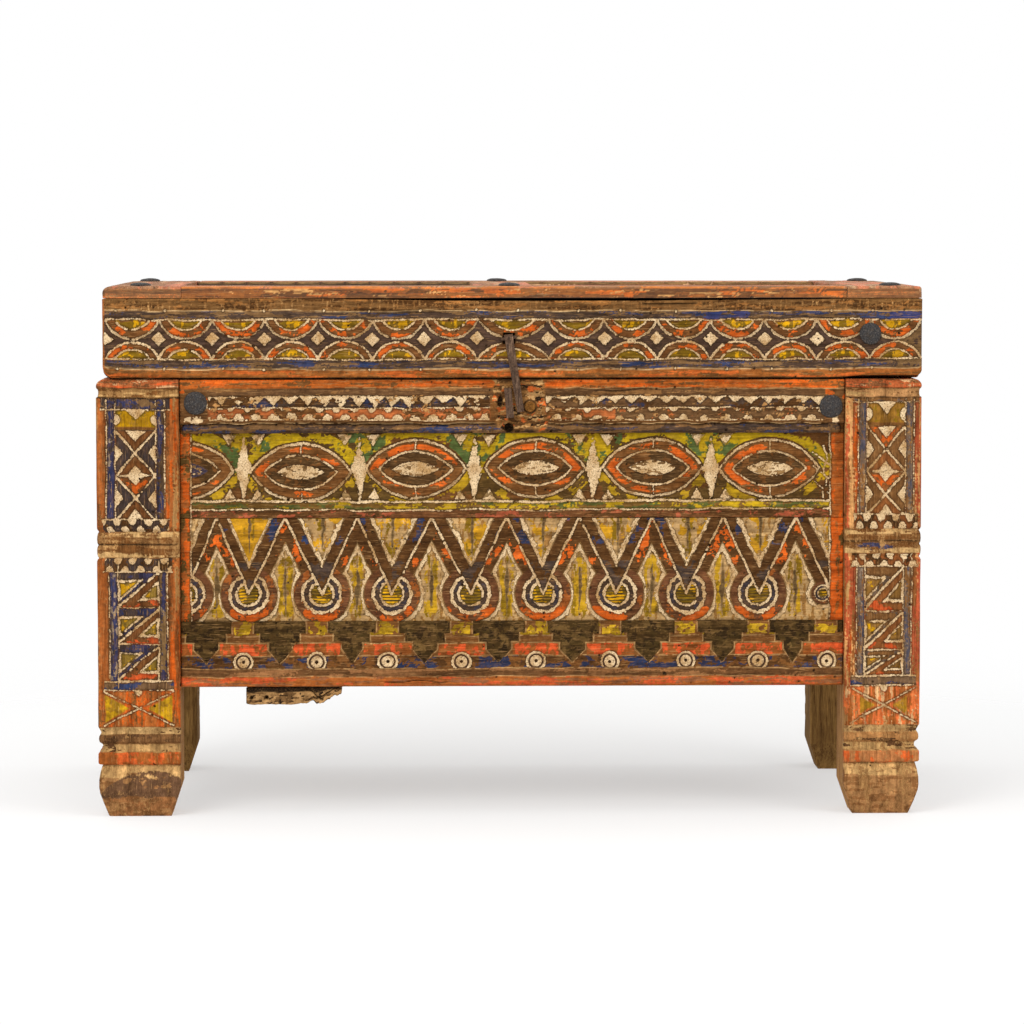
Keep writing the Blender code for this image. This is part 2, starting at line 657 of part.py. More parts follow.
def make_skirt():
    """Four boards under the lid's top, the end boards housed into the front and back boards."""
    z0 = LID_LOW_Z
    z1 = SKIRT_TOP_Z
    low_round = rounded_corner(LID_LEFT_X, z0, 1, 1, SKIRT_CORNER_RADIUS, 4)
    outline = [(LID_RIGHT_X - SKIRT_CHAMFER, z0), (LID_RIGHT_X, z0 + SKIRT_CHAMFER),
               (LID_RIGHT_X, z1), (LID_LEFT_X, z1)] + list(reversed(low_round))
    front = prism("lid_front_board", outline, LID_FRONT_Y, LID_FRONT_Y + SKIRT_THICK)
    back = prism("lid_back_board", outline, LID_BACK_Y - SKIRT_THICK, LID_BACK_Y)
    y0 = LID_FRONT_Y + SKIRT_THICK + FIT
    y1 = LID_BACK_Y - SKIRT_THICK - FIT
    left_in = LID_LEFT_X + SKIRT_THICK
    left_outline = [(left_in, z0), (left_in, z1), (LID_LEFT_X, z1)] + list(reversed(low_round))
    left = prism("lid_left_board", left_outline, y0, y1)
    right_in = LID_RIGHT_X - SKIRT_THICK
    right_outline = [(right_in, z0), (LID_RIGHT_X - SKIRT_CHAMFER, z0),
                     (LID_RIGHT_X, z0 + SKIRT_CHAMFER), (LID_RIGHT_X, z1), (right_in, z1)]
    right = prism("lid_right_board", right_outline, y0, y1)
    tongue_z = (z0 + HOUSING_SHOULDER, z1 - HOUSING_SHOULDER)
    spans = (
        (left, (LID_LEFT_X + HOUSING_NEAR, LID_LEFT_X + HOUSING_NEAR + HOUSING_THICK)),
        (right, (LID_RIGHT_X - HOUSING_NEAR - HOUSING_THICK, LID_RIGHT_X - HOUSING_NEAR)),
    )
    housings_front = []
    housings_back = []
    for board, xs in spans:
        add_boxes(board, [
            ((xs[0], y0 - FIT - HOUSING_LONG, tongue_z[0]), (xs[1], y0 + OVERLAP, tongue_z[1])),
            ((xs[0], y1 - OVERLAP, tongue_z[0]), (xs[1], y1 + FIT + HOUSING_LONG, tongue_z[1])),
        ])
        wide = grow(xs, FIT)
        tall = grow(tongue_z, FIT)
        deep = y0 - 2 * FIT - HOUSING_LONG
        housings_front.append(((wide[0], deep, tall[0]), (wide[1], y0 + OVERLAP, tall[1])))
        deep = y1 + 2 * FIT + HOUSING_LONG
        housings_back.append(((wide[0], y1 - OVERLAP, tall[0]), (wide[1], deep, tall[1])))
    cut_boxes(front, housings_front)
    cut_boxes(back, housings_back)
    for board in (front, back, left, right):
        give_material(board, PAINTED if board is front else BARE, 0.75, 0.0)
    return front, back, left, right


def make_frame():
    """Framed lid top: end rails, front and back rails, muntin and two recessed panels."""
    z0 = FRAME_LOW_Z
    z1 = FRAME_TOP_Z
    tenon_z = (z0 + FRAME_TENON_RISE, z0 + FRAME_TENON_RISE + FRAME_TENON_THICK)
    slot_z = grow(tenon_z, FIT)
    left_in = LID_LEFT_X + END_RAIL_LEFT_WIDTH
    right_in = LID_RIGHT_X - END_RAIL_RIGHT_WIDTH
    front_in = LID_FRONT_Y + FRONT_RAIL_WIDTH
    back_in = LID_BACK_Y - BACK_RAIL_WIDTH
    muntin = (MUNTIN_LEFT_X, MUNTIN_LEFT_X + MUNTIN_WIDTH)
    top_round = rounded_corner(LID_LEFT_X, z1, 1, -1, END_RAIL_ROUND, 4)
    left_outline = [(LID_LEFT_X, z0), (left_in, z0), (left_in, z1)] + top_round
    left = prism("lid_end_rail_left", left_outline, LID_FRONT_Y, LID_BACK_Y)
    right = boxes_object("lid_end_rail_right", [((right_in, LID_FRONT_Y, z0), (LID_RIGHT_X, LID_BACK_Y, z1))])
    inner_x = (left_in + FIT, right_in - FIT)
    front = boxes_object("lid_front_rail", [((inner_x[0], LID_FRONT_Y, z0), (inner_x[1], front_in, z1))])
    back = boxes_object("lid_back_rail", [((inner_x[0], back_in, z0), (inner_x[1], LID_BACK_Y, z1))])
    inner_y = (front_in + FIT, back_in - FIT)
    bar = boxes_object("lid_muntin", [((muntin[0], inner_y[0], z0), (muntin[1], inner_y[1], z1))])
    groove = PANEL_TONGUE_LONG + 2 * FIT
    left_cuts = [((left_in - groove, front_in + TONGUE_STOP, slot_z[0]),
                  (left_in + OVERLAP, back_in - TONGUE_STOP, slot_z[1]))]
    right_cuts = [((right_in - OVERLAP, front_in + TONGUE_STOP, slot_z[0]),
                   (right_in + groove, back_in - TONGUE_STOP, slot_z[1]))]
    rail_spans = (
        (front, (LID_FRONT_Y + FRAME_TENON_SHOULDER, front_in - FRAME_TENON_SHOULDER)),
        (back, (back_in + FRAME_TENON_SHOULDER, LID_BACK_Y - FRAME_TENON_SHOULDER)),
    )
    for rail, ys in rail_spans:
        low = left_in - FRAME_TENON_LONG
        high = right_in + FRAME_TENON_LONG
        add_boxes(rail, [
            ((low, ys[0], tenon_z[0]), (inner_x[0] + OVERLAP, ys[1], tenon_z[1])),
            ((inner_x[1] - OVERLAP, ys[0], tenon_z[0]), (high, ys[1], tenon_z[1])),
        ])
        wide = grow(ys, FIT)
        left_cuts.append(((low - FIT, wide[0], slot_z[0]), (left_in + OVERLAP, wide[1], slot_z[1])))
        right_cuts.append(((right_in - OVERLAP, wide[0], slot_z[0]), (high + FIT, wide[1], slot_z[1])))
    muntin_xs = (muntin[0] + FRAME_TENON_SHOULDER, muntin[1] - FRAME_TENON_SHOULDER)
    add_boxes(bar, [
        ((muntin_xs[0], front_in - MUNTIN_TENON_LONG, tenon_z[0]),
         (muntin_xs[1], inner_y[0] + OVERLAP, tenon_z[1])),
        ((muntin_xs[0], inner_y[1] - OVERLAP, tenon_z[0]),
         (muntin_xs[1], back_in + MUNTIN_TENON_LONG, tenon_z[1])),
    ])
    panel_spans = (
        ("lid_panel_left", (left_in + FIT, muntin[0] - FIT)),
        ("lid_panel_right", (muntin[1] + FIT, right_in - FIT)),
    )
    wide = grow(muntin_xs, FIT)
    front_cuts = [((wide[0], front_in - MUNTIN_TENON_LONG - FIT, slot_z[0]),
                   (wide[1], front_in + OVERLAP, slot_z[1]))]
    back_cuts = [((wide[0], back_in - OVERLAP, slot_z[0]),
                  (wide[1], back_in + MUNTIN_TENON_LONG + FIT, slot_z[1]))]
    bar_cuts = [
        ((muntin[0] - OVERLAP, front_in + TONGUE_STOP, slot_z[0]),
         (muntin[0] + groove, back_in - TONGUE_STOP, slot_z[1])),
        ((muntin[1] - groove, front_in + TONGUE_STOP, slot_z[0]),
         (muntin[1] + OVERLAP, back_in - TONGUE_STOP, slot_z[1])),
    ]
    panels = []
    for name, xs in panel_spans:
        field_low = tenon_z[0] - PANEL_FIELD_DROP
        panel = boxes_object(name, [((xs[0], inner_y[0], field_low), (xs[1], inner_y[1], tenon_z[1]))])
        reach = PANEL_TONGUE_LONG + FIT
        y_stop = (inner_y[0] + 2 * TONGUE_STOP, inner_y[1] - 2 * TONGUE_STOP)
        x_stop = (xs[0] + 2 * TONGUE_STOP, xs[1] - 2 * TONGUE_STOP)
        add_boxes(panel, [
            ((xs[0] - reach, y_stop[0], tenon_z[0]), (xs[0] + OVERLAP, y_stop[1], tenon_z[1])),
            ((xs[1] - OVERLAP, y_stop[0], tenon_z[0]), (xs[1] + reach, y_stop[1], tenon_z[1])),
            ((x_stop[0], inner_y[0] - reach, tenon_z[0]), (x_stop[1], inner_y[0] + OVERLAP, tenon_z[1])),
            ((x_stop[0], inner_y[1] - OVERLAP, tenon_z[0]), (x_stop[1], inner_y[1] + reach, tenon_z[1])),
        ])
        x_slot = (xs[0] + TONGUE_STOP, xs[1] - TONGUE_STOP)
        front_cuts.append(((x_slot[0], front_in - groove, slot_z[0]), (x_slot[1], front_in + OVERLAP, slot_z[1])))
        back_cuts.append(((x_slot[0], back_in - OVERLAP, slot_z[0]), (x_slot[1], back_in + groove, slot_z[1])))
        panels.append(panel)
    cut_boxes(left, left_cuts)
    cut_boxes(right, right_cuts)
    cut_boxes(front, front_cuts)
    cut_boxes(back, back_cuts)
    cut_boxes(bar, bar_cuts)
    for board in (left, right, front, back, bar, *panels):
        give_material(board, PAINTED, 0.75, 0.0)
    return left, right, front, back, bar, panels


def make_hasp(lid_front):
    """Hasp strap rolled round the crossbar of a staple, and the staple set in the lid's pocket."""
    along = Vector((math.sin(HASP_TILT), 0, -math.cos(HASP_TILT)))
    across = Vector((math.cos(HASP_TILT), 0, math.sin(HASP_TILT)))
    forward = Vector((0, -1, 0))
    centre = Vector((HASP_X, HASP_Y, HASP_Z))
    inner = HASP_PIN_RADIUS + HASP_PIN_PLAY
    middle = inner + HASP_THICK / 2
    path = []
    sections = []
    steps = 14
    for step in range(steps + 1):
        angle = KNUCKLE_TURN * (1 - step / steps)
        path.append(centre + forward * (middle * math.cos(angle)) - along * (middle * math.sin(angle)))
        sections.append(flat_section(HASP_WIDTH, HASP_THICK))
    path.append(centre + forward * middle + along * HASP_LONG)
    sections.append(flat_section(HASP_TIP_WIDTH, HASP_THICK))
    strap = sweep("hasp_strap", path, across, sections)
    give_material(strap, IRON, 0.6, 0.8)
    legs = [centre - across * HASP_PIN_HALF, centre + across * HASP_PIN_HALF]
    back = Vector((0, HASP_LEG_LONG, 0))
    wire = round_section(HASP_PIN_RADIUS)
    staple = sweep("hasp_staple", [legs[0] + back, legs[0], legs[1], legs[1] + back], along, [wire] * 4)
    give_material(staple, IRON, 0.6, 0.8)
    shade_smooth(staple)
    cut_boxes(lid_front, [((HASP_X - POCKET_HALF_WIDTH, LID_FRONT_Y - OVERLAP, HASP_Z - POCKET_HALF_HIGH),
                           (HASP_X + POCKET_HALF_WIDTH, LID_FRONT_Y + POCKET_DEEP, HASP_Z + POCKET_HALF_HIGH))])
    for leg in legs:
        drill(lid_front, leg, leg + back + Vector((0, FIT, 0)), HASP_PIN_RADIUS)
    return strap, staple


def make_lock(front_rail):
    """Flat iron staple driven into the front rail beside the hasp, a round wooden plug, a bolt hole."""
    face_y = FRONT_Y + TOP_RAIL_SET
    up = Vector((-math.sin(LOCK_TILT), 0, math.cos(LOCK_TILT)))
    across = Vector((math.cos(LOCK_TILT), 0, math.sin(LOCK_TILT)))
    outer = LOCK_REACH + LOCK_THICK / 2
    half = up * (LOCK_HIGH / 2 - LOCK_THICK / 2)
    middle = Vector((LOCK_X, face_y, LOCK_Z))
    out = Vector((0, -outer, 0))
    inside = Vector((0, LOCK_LEG_LONG, 0))
    path = [middle + half + inside, middle + half + out, middle - half + out, middle - half + inside]
    section = flat_section(LOCK_WIDTH, LOCK_THICK)
    staple = sweep("lock_staple", path, across, [section] * 4)
    give_material(staple, IRON, 0.6, 0.8)
    hole = flat_section(LOCK_WIDTH + 2 * FIT, LOCK_THICK + 2 * FIT)
    for end in (half, -half):
        tip = middle + end + inside + Vector((0, FIT, 0))
        mouth = middle + end - Vector((0, OVERLAP, 0))
        combine(front_rail, sweep("leg_hole", [tip, mouth], across, [hole] * 2), "DIFFERENCE")
    plug_mouth = Vector((PLUG_X, face_y - PLUG_PROUD, PLUG_Z))
    plug_foot = Vector((PLUG_X, face_y + PLUG_LONG, PLUG_Z))
    drill(front_rail, plug_mouth, plug_foot + Vector((0, FIT, 0)), PLUG_RADIUS)
    plug = rod(plug_mouth, plug_foot, PLUG_RADIUS)
    plug.name = "lock_plug"
    give_material(plug, DARK, 0.8, 0.0)
    bolt_mouth = (BOLT_HOLE_X, face_y - OVERLAP, BOLT_HOLE_Z)
    bolt_foot = (BOLT_HOLE_X, face_y + BOLT_HOLE_DEEP, BOLT_HOLE_Z)
    drill(front_rail, bolt_mouth, bolt_foot, BOLT_HOLE_RADIUS - FIT)


def make_lid_domes(left, right, front_rail, back_rail, skirt):
    """Domed nails on the lid's end rails, on the rails at both ends of the muntin, and on the skirt."""
    front_y = LID_FRONT_Y + END_DOME_FRONT_SET
    back_y = LID_BACK_Y - END_DOME_BACK_SET
    top = FRAME_TOP_Z
    up = (0, 0, 1)
    places = (
        ("dome_lid_left_front", (LEFT_DOME_FRONT_X, front_y, top), left),
        ("dome_lid_left_back", (LEFT_DOME_BACK_X, back_y, top), left),
        ("dome_lid_right_front", (RIGHT_DOME_FRONT_X, front_y, top), right),
        ("dome_lid_right_back", (RIGHT_DOME_BACK_X, back_y, top), right),
        ("dome_lid_middle_front", (MUNTIN_DOME_FRONT_X, LID_FRONT_Y + MUNTIN_DOME_SET, top), front_rail),
        ("dome_lid_middle_back", (MUNTIN_DOME_BACK_X, LID_BACK_Y - MUNTIN_DOME_SET, top), back_rail),
    )
    domes = [make_dome(name, LID_DOME_RADIUS, foot, up, into) for name, foot, into in places]
    skirt_foot = (SKIRT_DOME_X, LID_FRONT_Y, SKIRT_DOME_Z)
    domes.append(make_dome("dome_lid_skirt", LID_DOME_RADIUS, skirt_foot, (0, -1, 0), skirt))
    return domes


def pivot(name, place, parent, children):
    """Empty on a joint axis that carries the pieces that turn about it."""
    empty = bpy.data.objects.new(name, None)
    empty.location = place
    bpy.context.collection.objects.link(empty)
    if parent is not None:
        empty.parent = parent
        empty.matrix_parent_inverse = Matrix.Translation(parent.location).inverted()
    for child in children:
        child.parent = empty
        child.matrix_parent_inverse = Matrix.Translation(Vector(place)).inverted()
    return empty


def build():
    """Make every piece of the chest."""
    clear_scene()
    post_cuts = {"front_left": [], "front_right": [], "back_left": [], "back_right": []}
    long_span = (LEFT_X + POST_LEFT_WIDTH, RIGHT_X - POST_RIGHT_WIDTH)
    short_span = (FRONT_Y + POST_DEPTH, BACK_Y - POST_DEPTH)
    extra = floor_grooves()
    front = make_wall("front", long_span, ("front_left", "front_right"), post_cuts, extra)
    back = make_wall("back", long_span, ("back_left", "back_right"), post_cuts, extra)
    make_wall("left", short_span, ("front_left", "back_left"), post_cuts, extra)
    make_wall("right", short_span, ("front_right", "back_right"), post_cuts, extra)
    make_post("post_front_left", -1, -1, POST_LEFT_WIDTH, post_cuts["front_left"])
    make_post("post_front_right", 1, -1, POST_RIGHT_WIDTH, post_cuts["front_right"])
    make_post("post_back_left", -1, 1, POST_LEFT_WIDTH, post_cuts["back_left"])
    make_post("post_back_right", 1, 1, POST_RIGHT_WIDTH, post_cuts["back_right"])
    make_floor()
    make_bearer()
    make_lock(front["top_rail"])
    rail_y = FRONT_Y + TOP_RAIL_SET
    for label, x, z in (("left", RAIL_DOME_LEFT_X, RAIL_DOME_LEFT_Z), ("right", RAIL_DOME_RIGHT_X, RAIL_DOME_RIGHT_Z)):
        make_dome("dome_rail_" + label, RAIL_DOME_RADIUS, (x, rail_y, z), (0, -1, 0), front["top_rail"])
    skirt = make_skirt()
    left, right, front_rail, back_rail, bar, panels = make_frame()
    domes = make_lid_domes(left, right, front_rail, back_rail, skirt[0])
    loops = make_hinges(back["top_rail"], skirt[1])
    strap, staple = make_hasp(skirt[0])
    lid_pieces = [*skirt, left, right, front_rail, back_rail, bar, *panels, *domes, *loops, staple]
    lid_pivot = pivot("lid_pivot", (0.0, HINGE_Y, HINGE_Z), None, lid_pieces)
    pivot("hasp_pivot", (HASP_X, HASP_Y, HASP_Z), lid_pivot, [strap])


build()
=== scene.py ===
"""Carved and painted wooden chest on four posts: its looks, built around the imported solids.

Every board that shows is a closed surface worked out on a grid: a rounded board section is
carried along the board, and its face is cut in by a carving. A carving holds, for each point
of the face, how deep the chisel went and which paint lies there. The carving is drawn in
columns and rows of a front elevation, one unit being about 1.21 mm: the plain numbers in the
carve functions are places and widths in that drawing, and depths are in metres.
"""
import math

import bpy
import numpy as np
from mathutils import Matrix, Vector


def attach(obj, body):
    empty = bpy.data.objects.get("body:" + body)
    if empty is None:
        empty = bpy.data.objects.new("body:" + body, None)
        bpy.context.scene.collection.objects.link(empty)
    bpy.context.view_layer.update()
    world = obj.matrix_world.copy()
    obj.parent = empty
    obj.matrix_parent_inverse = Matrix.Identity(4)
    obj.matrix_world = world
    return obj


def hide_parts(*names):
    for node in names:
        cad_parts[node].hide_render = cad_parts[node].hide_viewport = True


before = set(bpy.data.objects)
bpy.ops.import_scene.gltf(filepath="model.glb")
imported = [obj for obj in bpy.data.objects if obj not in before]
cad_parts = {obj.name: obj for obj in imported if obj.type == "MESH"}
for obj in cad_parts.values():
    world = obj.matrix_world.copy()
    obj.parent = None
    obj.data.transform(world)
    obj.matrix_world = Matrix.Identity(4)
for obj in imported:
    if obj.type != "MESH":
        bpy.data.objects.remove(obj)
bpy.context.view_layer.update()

COLUMN = 0.0012107
ROW = 0.0012160
MIDDLE_COLUMN = 510.0
FLOOR_ROW = 817.0


def column(x):
    """Column of the front elevation at a place along the chest."""
    return MIDDLE_COLUMN + x / COLUMN


def row(z):
    """Row of the front elevation at a height, counted downwards."""
    return FLOOR_ROW - z / ROW


def tint(red, green, blue):
    """Paint colour given as it looks on a screen, turned into light values."""
    c = np.array((red, green, blue)) / 255.0
    return np.where(c <= 0.04045, c / 12.92, ((c + 0.055) / 1.055) ** 2.4)


WOOD = tint(138, 94, 50)
BROWN = tint(115, 73, 36)
DARK_BROWN = tint(80, 51, 25)
BLUE_BLACK = tint(68, 56, 50)
ULTRAMARINE = tint(40, 57, 92)
CREAM = tint(228, 199, 156)
STRAW = tint(214, 174, 118)
ORANGE = tint(210, 94, 28)
RUST = tint(168, 92, 40)
OCHRE = tint(226, 168, 12)
GOLD = tint(196, 160, 26)
OLIVE = tint(146, 114, 20)
DARK_OLIVE = tint(90, 68, 32)
GREEN = tint(84, 108, 56)
# Black: painted shade in holes, cracks, gaps, grooves and under steps, and dark specks in chips.
SHADE_AND_DIRT_BLACK = tint(30, 20, 12)
MUD = tint(100, 66, 32)

FAR = 99.0  # a distance that no line reaches
NO_LIME = -3.0  # lime's field where none lies; its distances count up to 3 columns


LATTICE = 61, 67  # sides of the table of random heights, after which it repeats


def smooth_noise(a, b, seed):
    """Value noise: random heights on a unit lattice, joined by smooth cubic steps."""
    table = np.random.default_rng(seed).random(LATTICE)
    size_a, size_b = LATTICE
    ia = np.floor(a).astype(int)
    ib = np.floor(b).astype(int)
    fa = a - ia
    fb = b - ib
    fa = fa * fa * (3 - 2 * fa)
    fb = fb * fb * (3 - 2 * fb)
    here_a, next_a, here_b, next_b = ia % size_a, (ia + 1) % size_a, ib % size_b, (ib + 1) % size_b
    low = table[here_a, here_b] * (1 - fa) + table[next_a, here_b] * fa
    high = table[here_a, next_b] * (1 - fa) + table[next_a, next_b] * fa
    return low * (1 - fb) + high * fb


def layered_noise(a, b, seed, layers=3):
    """Sum of value noises, each twice as fine and half as strong, scaled to 0..1."""
    total = 0.0
    weight = 0.0
    for k in range(layers):
        total = total + smooth_noise(a * 2 ** k + 7.3 * k, b * 2 ** k + 3.1 * k, seed + k) * 0.5 ** k
        weight += 0.5 ** k
    return np.clip((total / weight - 0.5) * 1.5 + 0.5, 0, 1)


def step(value, low, high):
    """Smooth step from 0 at low to 1 at high."""
    t = np.clip((value - low) / (high - low), 0, 1)
    return t * t * (3 - 2 * t)


def inside(distance, soft=0.55):
    """1 inside a shape and 0 outside, from the signed distance to its edge."""
    return 1 - step(distance, -soft, soft)


def between(value, low, high, soft=0.45):
    """1 for values from low to high, with soft ends."""
    return step(value, low - soft, low + soft) * (1 - step(value, high - soft, high + soft))


def only(where, distance):
    """The distance in one place, and far off everywhere else."""
    return np.where(where, distance, FAR)


def segment(u, v, start, end):
    """Distance to a straight line between two points."""
    du = end[0] - start[0]
    dv = end[1] - start[1]
    t = np.clip(((u - start[0]) * du + (v - start[1]) * dv) / (du * du + dv * dv), 0, 1)
    return np.hypot(u - start[0] - t * du, v - start[1] - t * dv)


def lens(u, v, cu, cv, wide, high):
    """Signed distance to an eye shape: the overlap of two equal circles, wide by high."""
    radius = (wide * wide + high * high) / (4 * high)
    off = radius - high / 2
    return np.maximum(np.hypot(u - cu, v - cv - off), np.hypot(u - cu, v - cv + off)) - radius


def round_cap(u, y, half, tall):
    """Signed distance to the circle whose cap stands on a chord, given half the chord and the cap's height."""
    radius = (half ** 2 + tall ** 2) / (2 * tall)
    return np.hypot(u, y - tall + radius) - radius


def wedge(u, v, tip, base_v, half):
    """Signed distance to a triangle with its tip at a point and a level base at another row."""
    way = 1.0 if base_v > tip[1] else -1.0
    tall = abs(base_v - tip[1])
    down = (v - tip[1]) * way
    slope = (np.abs(u - tip[0]) * tall - down * half) / math.hypot(tall, half)
    return np.maximum(slope, down - tall)


class Carving:
    """What was done to every point of a face: how deep the chisel went in metres, the coat and its
    cover, flakes of a second coat, and lime. Flakes and lime are soft fields, which the material cuts
    to sharp ragged edges: flakes lie where their field is over a half, lime where its field, the
    distance in from the edge in columns, is over zero."""

    def __init__(self, u, v, seed, ground=WOOD, cover=0.0):
        self.u = u
        self.v = v
        self.seed = seed
        self.depth = np.zeros_like(u)
        self.rgb = np.ones(u.shape + (3,)) * ground
        self.cover = np.full_like(u, cover)
        self.flake = np.zeros_like(u)
        self.flake_rgb = self.rgb.copy()
        self.lime = np.full_like(u, NO_LIME)
        self.known = {}

    def noise(self, size_u, size_v, seed, layers):
        """Layered noise over the face, worked out once for each setting."""
        key = (size_u, size_v, seed, layers)
        if key not in self.known:
            self.known[key] = layered_noise(self.u / size_u, self.v / size_v, seed, layers)
        return self.known[key]

    def patches(self, seed, size_u, size_v, low, high):
        """Mask of torn patches: layered noise between two levels."""
        broad = self.noise(size_u, size_v, self.seed * 7 + seed, 4)
        fine = self.noise(1.7, 1.5, self.seed * 7 + 77, 2) - 0.5
        return step(broad + 0.30 * fine, low - 0.05, high + 0.07)

    def paint(self, mask, colour, cover=0.9):
        """Lay a colour where the mask is, hiding what was there."""
        m = mask[..., None]
        self.rgb = self.rgb * (1 - m) + colour * m
        self.cover = self.cover * (1 - mask) + cover * mask
        self.flake = self.flake * (1 - mask)
        self.lime = self.lime - mask * (self.lime - NO_LIME)

    def flakes(self, mask, colour, cover):
        """Lay flakes of another colour where the mask goes over a half."""
        over = (mask > 0.04) & ((mask > self.flake) | (mask > 0.5))
        self.flake_rgb[over] = colour
        self.flake = np.where(over, mask, self.flake)
        self.cover = self.cover * (1 - mask) + cover * mask
        self.lime = self.lime - mask * (self.lime - NO_LIME)

    def chips(self, where, *coats):
        """Lay flakes in torn patches of a place, for each coat in turn: its patches' seed, size along u,
        size along v, low and high level, and its colour and cover."""
        for seed, size_u, size_v, low, high, colour, cover in coats:
            self.flakes(where * self.patches(seed, size_u, size_v, low, high), colour, cover)

    def dress(self, where, colour, cover, *coats):
        """Paint a place, and lay chips of other coats on it."""
        self.paint(where, colour, cover)
        self.chips(where, *coats)

    def limed(self, distance, where=None):
        """Rub lime over a whole shape, given the signed distance to its edge."""
        field = np.clip(-distance, -3, 3)
        if where is not None:
            field = np.where(where > 0.5, field, NO_LIME)
        self.lime = np.maximum(self.lime, field)

    def coat(self):
        """Everything that the material reads: coat and cover, flakes, lime, and how hollow the place is."""
        hollow = np.clip(self.depth / 0.002, 0, 1)
        return np.concatenate([self.rgb, self.cover[..., None], self.flake_rgb, self.flake[..., None],
                               self.lime[..., None], hollow[..., None]], -1)

    def sink(self, mask, deep):
        """Lower the ground to a depth where the mask is."""
        self.depth = np.maximum(self.depth, mask * deep)

    def raise_up(self, mask):
        """Bring the ground back to the board's face where the mask is."""
        self.depth = self.depth * (1 - mask)

    def stand(self, shape, where, soft=0.8):
        """Leave a shape standing at the board's face in a place, and rub it with lime."""
        self.raise_up(where * inside(shape, soft))
        self.limed(shape, where)

    def line(self, distance, wide=1.9, deep=0.0009, rough=0.35):
        """Cut a V groove along a line and rub lime into it; its width varies as by hand, and it is
        lost in places."""
        ragged = self.noise(2.6, 2.6, self.seed + 90, 2) - 0.5
        half = wide / 2 * (0.95 + rough * 2.0 * ragged)
        cut = np.clip(1 - np.abs(distance) / (half + 0.5), 0, 1)
        self.depth = self.depth + cut * deep
        lost = step(self.noise(6.0, 6.0, self.seed + 91, 3), 0.78, 0.96)
        self.lime = np.maximum(self.lime, np.clip(half + 0.15 - np.abs(distance), -3, 3) - 1.2 * lost)

    def hairline(self, distance, wide, colour=tint(204, 162, 108), low=0.26):
        """Scratch a thin line and rub tan into it; it is lost in places."""
        thin = inside(np.abs(distance) - wide * 0.3, 0.5)
        self.paint(thin * self.patches(15, 8, 4, low, low + 0.2), colour, 0.96)
        self.depth = self.depth + 0.0005 * thin

    def bore(self, mask, deep, cover=1.0):
        """Cut in deeper where the mask is, and paint the cut black, as painted shade inside it."""
        self.depth = self.depth + mask * deep
        self.paint(mask, SHADE_AND_DIRT_BLACK, cover)

    def pit(self, cu, cv, radius, deep, tall=1.0):
        """One hole with a soft rim, painted black as the shade inside it."""
        self.bore(inside(np.hypot(self.u - cu, (self.v - cv) / tall) - radius, 0.6), deep)

    def holes(self, count, seed):
        """Worm holes: small pits scattered over the face, painted black as the shade inside them."""
        pick = np.random.default_rng(seed)
        cu = pick.uniform(self.u.min(), self.u.max(), count)
        cv = pick.uniform(self.v.min(), self.v.max(), count)
        size = pick.uniform(0.5, 1.3, count)
        for hole_u, hole_v, radius in zip(cu, cv, size):
            self.pit(hole_u, hole_v, radius, 0.0016)

    def crack(self, start_u, end_u, at_v, seed, wide=0.7):
        """Drying crack along the grain: a wavering line painted black as the shade inside it, tapering at its ends."""
        waver = (smooth_noise(self.u / 22.0, self.u * 0 + seed, seed) - 0.5) * 5
        taper = between(self.u, start_u, end_u, 6.0)
        self.bore(inside(np.abs(self.v - at_v - waver) - wide * taper + (1 - taper) * 3, 0.5), 0.0018, 0.95)

    def tooling(self, amount, seed, long_u, long_v):
        """Shallow unevenness left by the adze, as layered noise stretched along the grain."""
        self.depth = self.depth + amount * layered_noise(self.u / long_u, self.v / long_v, seed, 3)


LAYERS = (("paint", "FLOAT_COLOR", "color", 0, 4), ("flake", "FLOAT_COLOR", "color", 4, 8),
          ("lime", "FLOAT", "value", 8, 9), ("hollow", "FLOAT", "value", 9, 10))
COVERS, LIME = (3, 7, 9), 8  # where a coat's two covers and its hollow stand, and its lime
SHARP_ANGLE = math.radians(50)


def put_mesh(name, points, quads, caps, coat):
    """Mesh object from points, quads and two end polygons, with its coat as point attributes."""
    mesh = bpy.data.meshes.new(name)
    mesh.vertices.add(len(points))
    mesh.vertices.foreach_set("co", np.ascontiguousarray(points, np.float32).ravel())
    sizes = np.concatenate([np.full(len(quads), 4), [len(c) for c in caps]]).astype(np.int32)
    corners = np.concatenate([quads.ravel()] + caps).astype(np.int32)
    mesh.loops.add(len(corners))
    mesh.loops.foreach_set("vertex_index", corners)
    mesh.polygons.add(len(sizes))
    starts = np.concatenate([[0], np.cumsum(sizes)[:-1]]).astype(np.int32)
    mesh.polygons.foreach_set("loop_start", starts)
    mesh.polygons.foreach_set("loop_total", sizes)
    mesh.polygons.foreach_set("use_smooth", np.ones(len(sizes), bool))
    mesh.update(calc_edges=True)
    mesh.validate()
    mesh.set_sharp_from_angle(angle=SHARP_ANGLE)
    for label, kind, key, first, last in LAYERS:
        layer = mesh.attributes.new(label, kind, "POINT")
        layer.data.foreach_set(key, np.ascontiguousarray(coat[:, first:last], np.float32).ravel())
    obj = bpy.data.objects.new(name, mesh)
    bpy.context.scene.collection.objects.link(obj)
    return obj


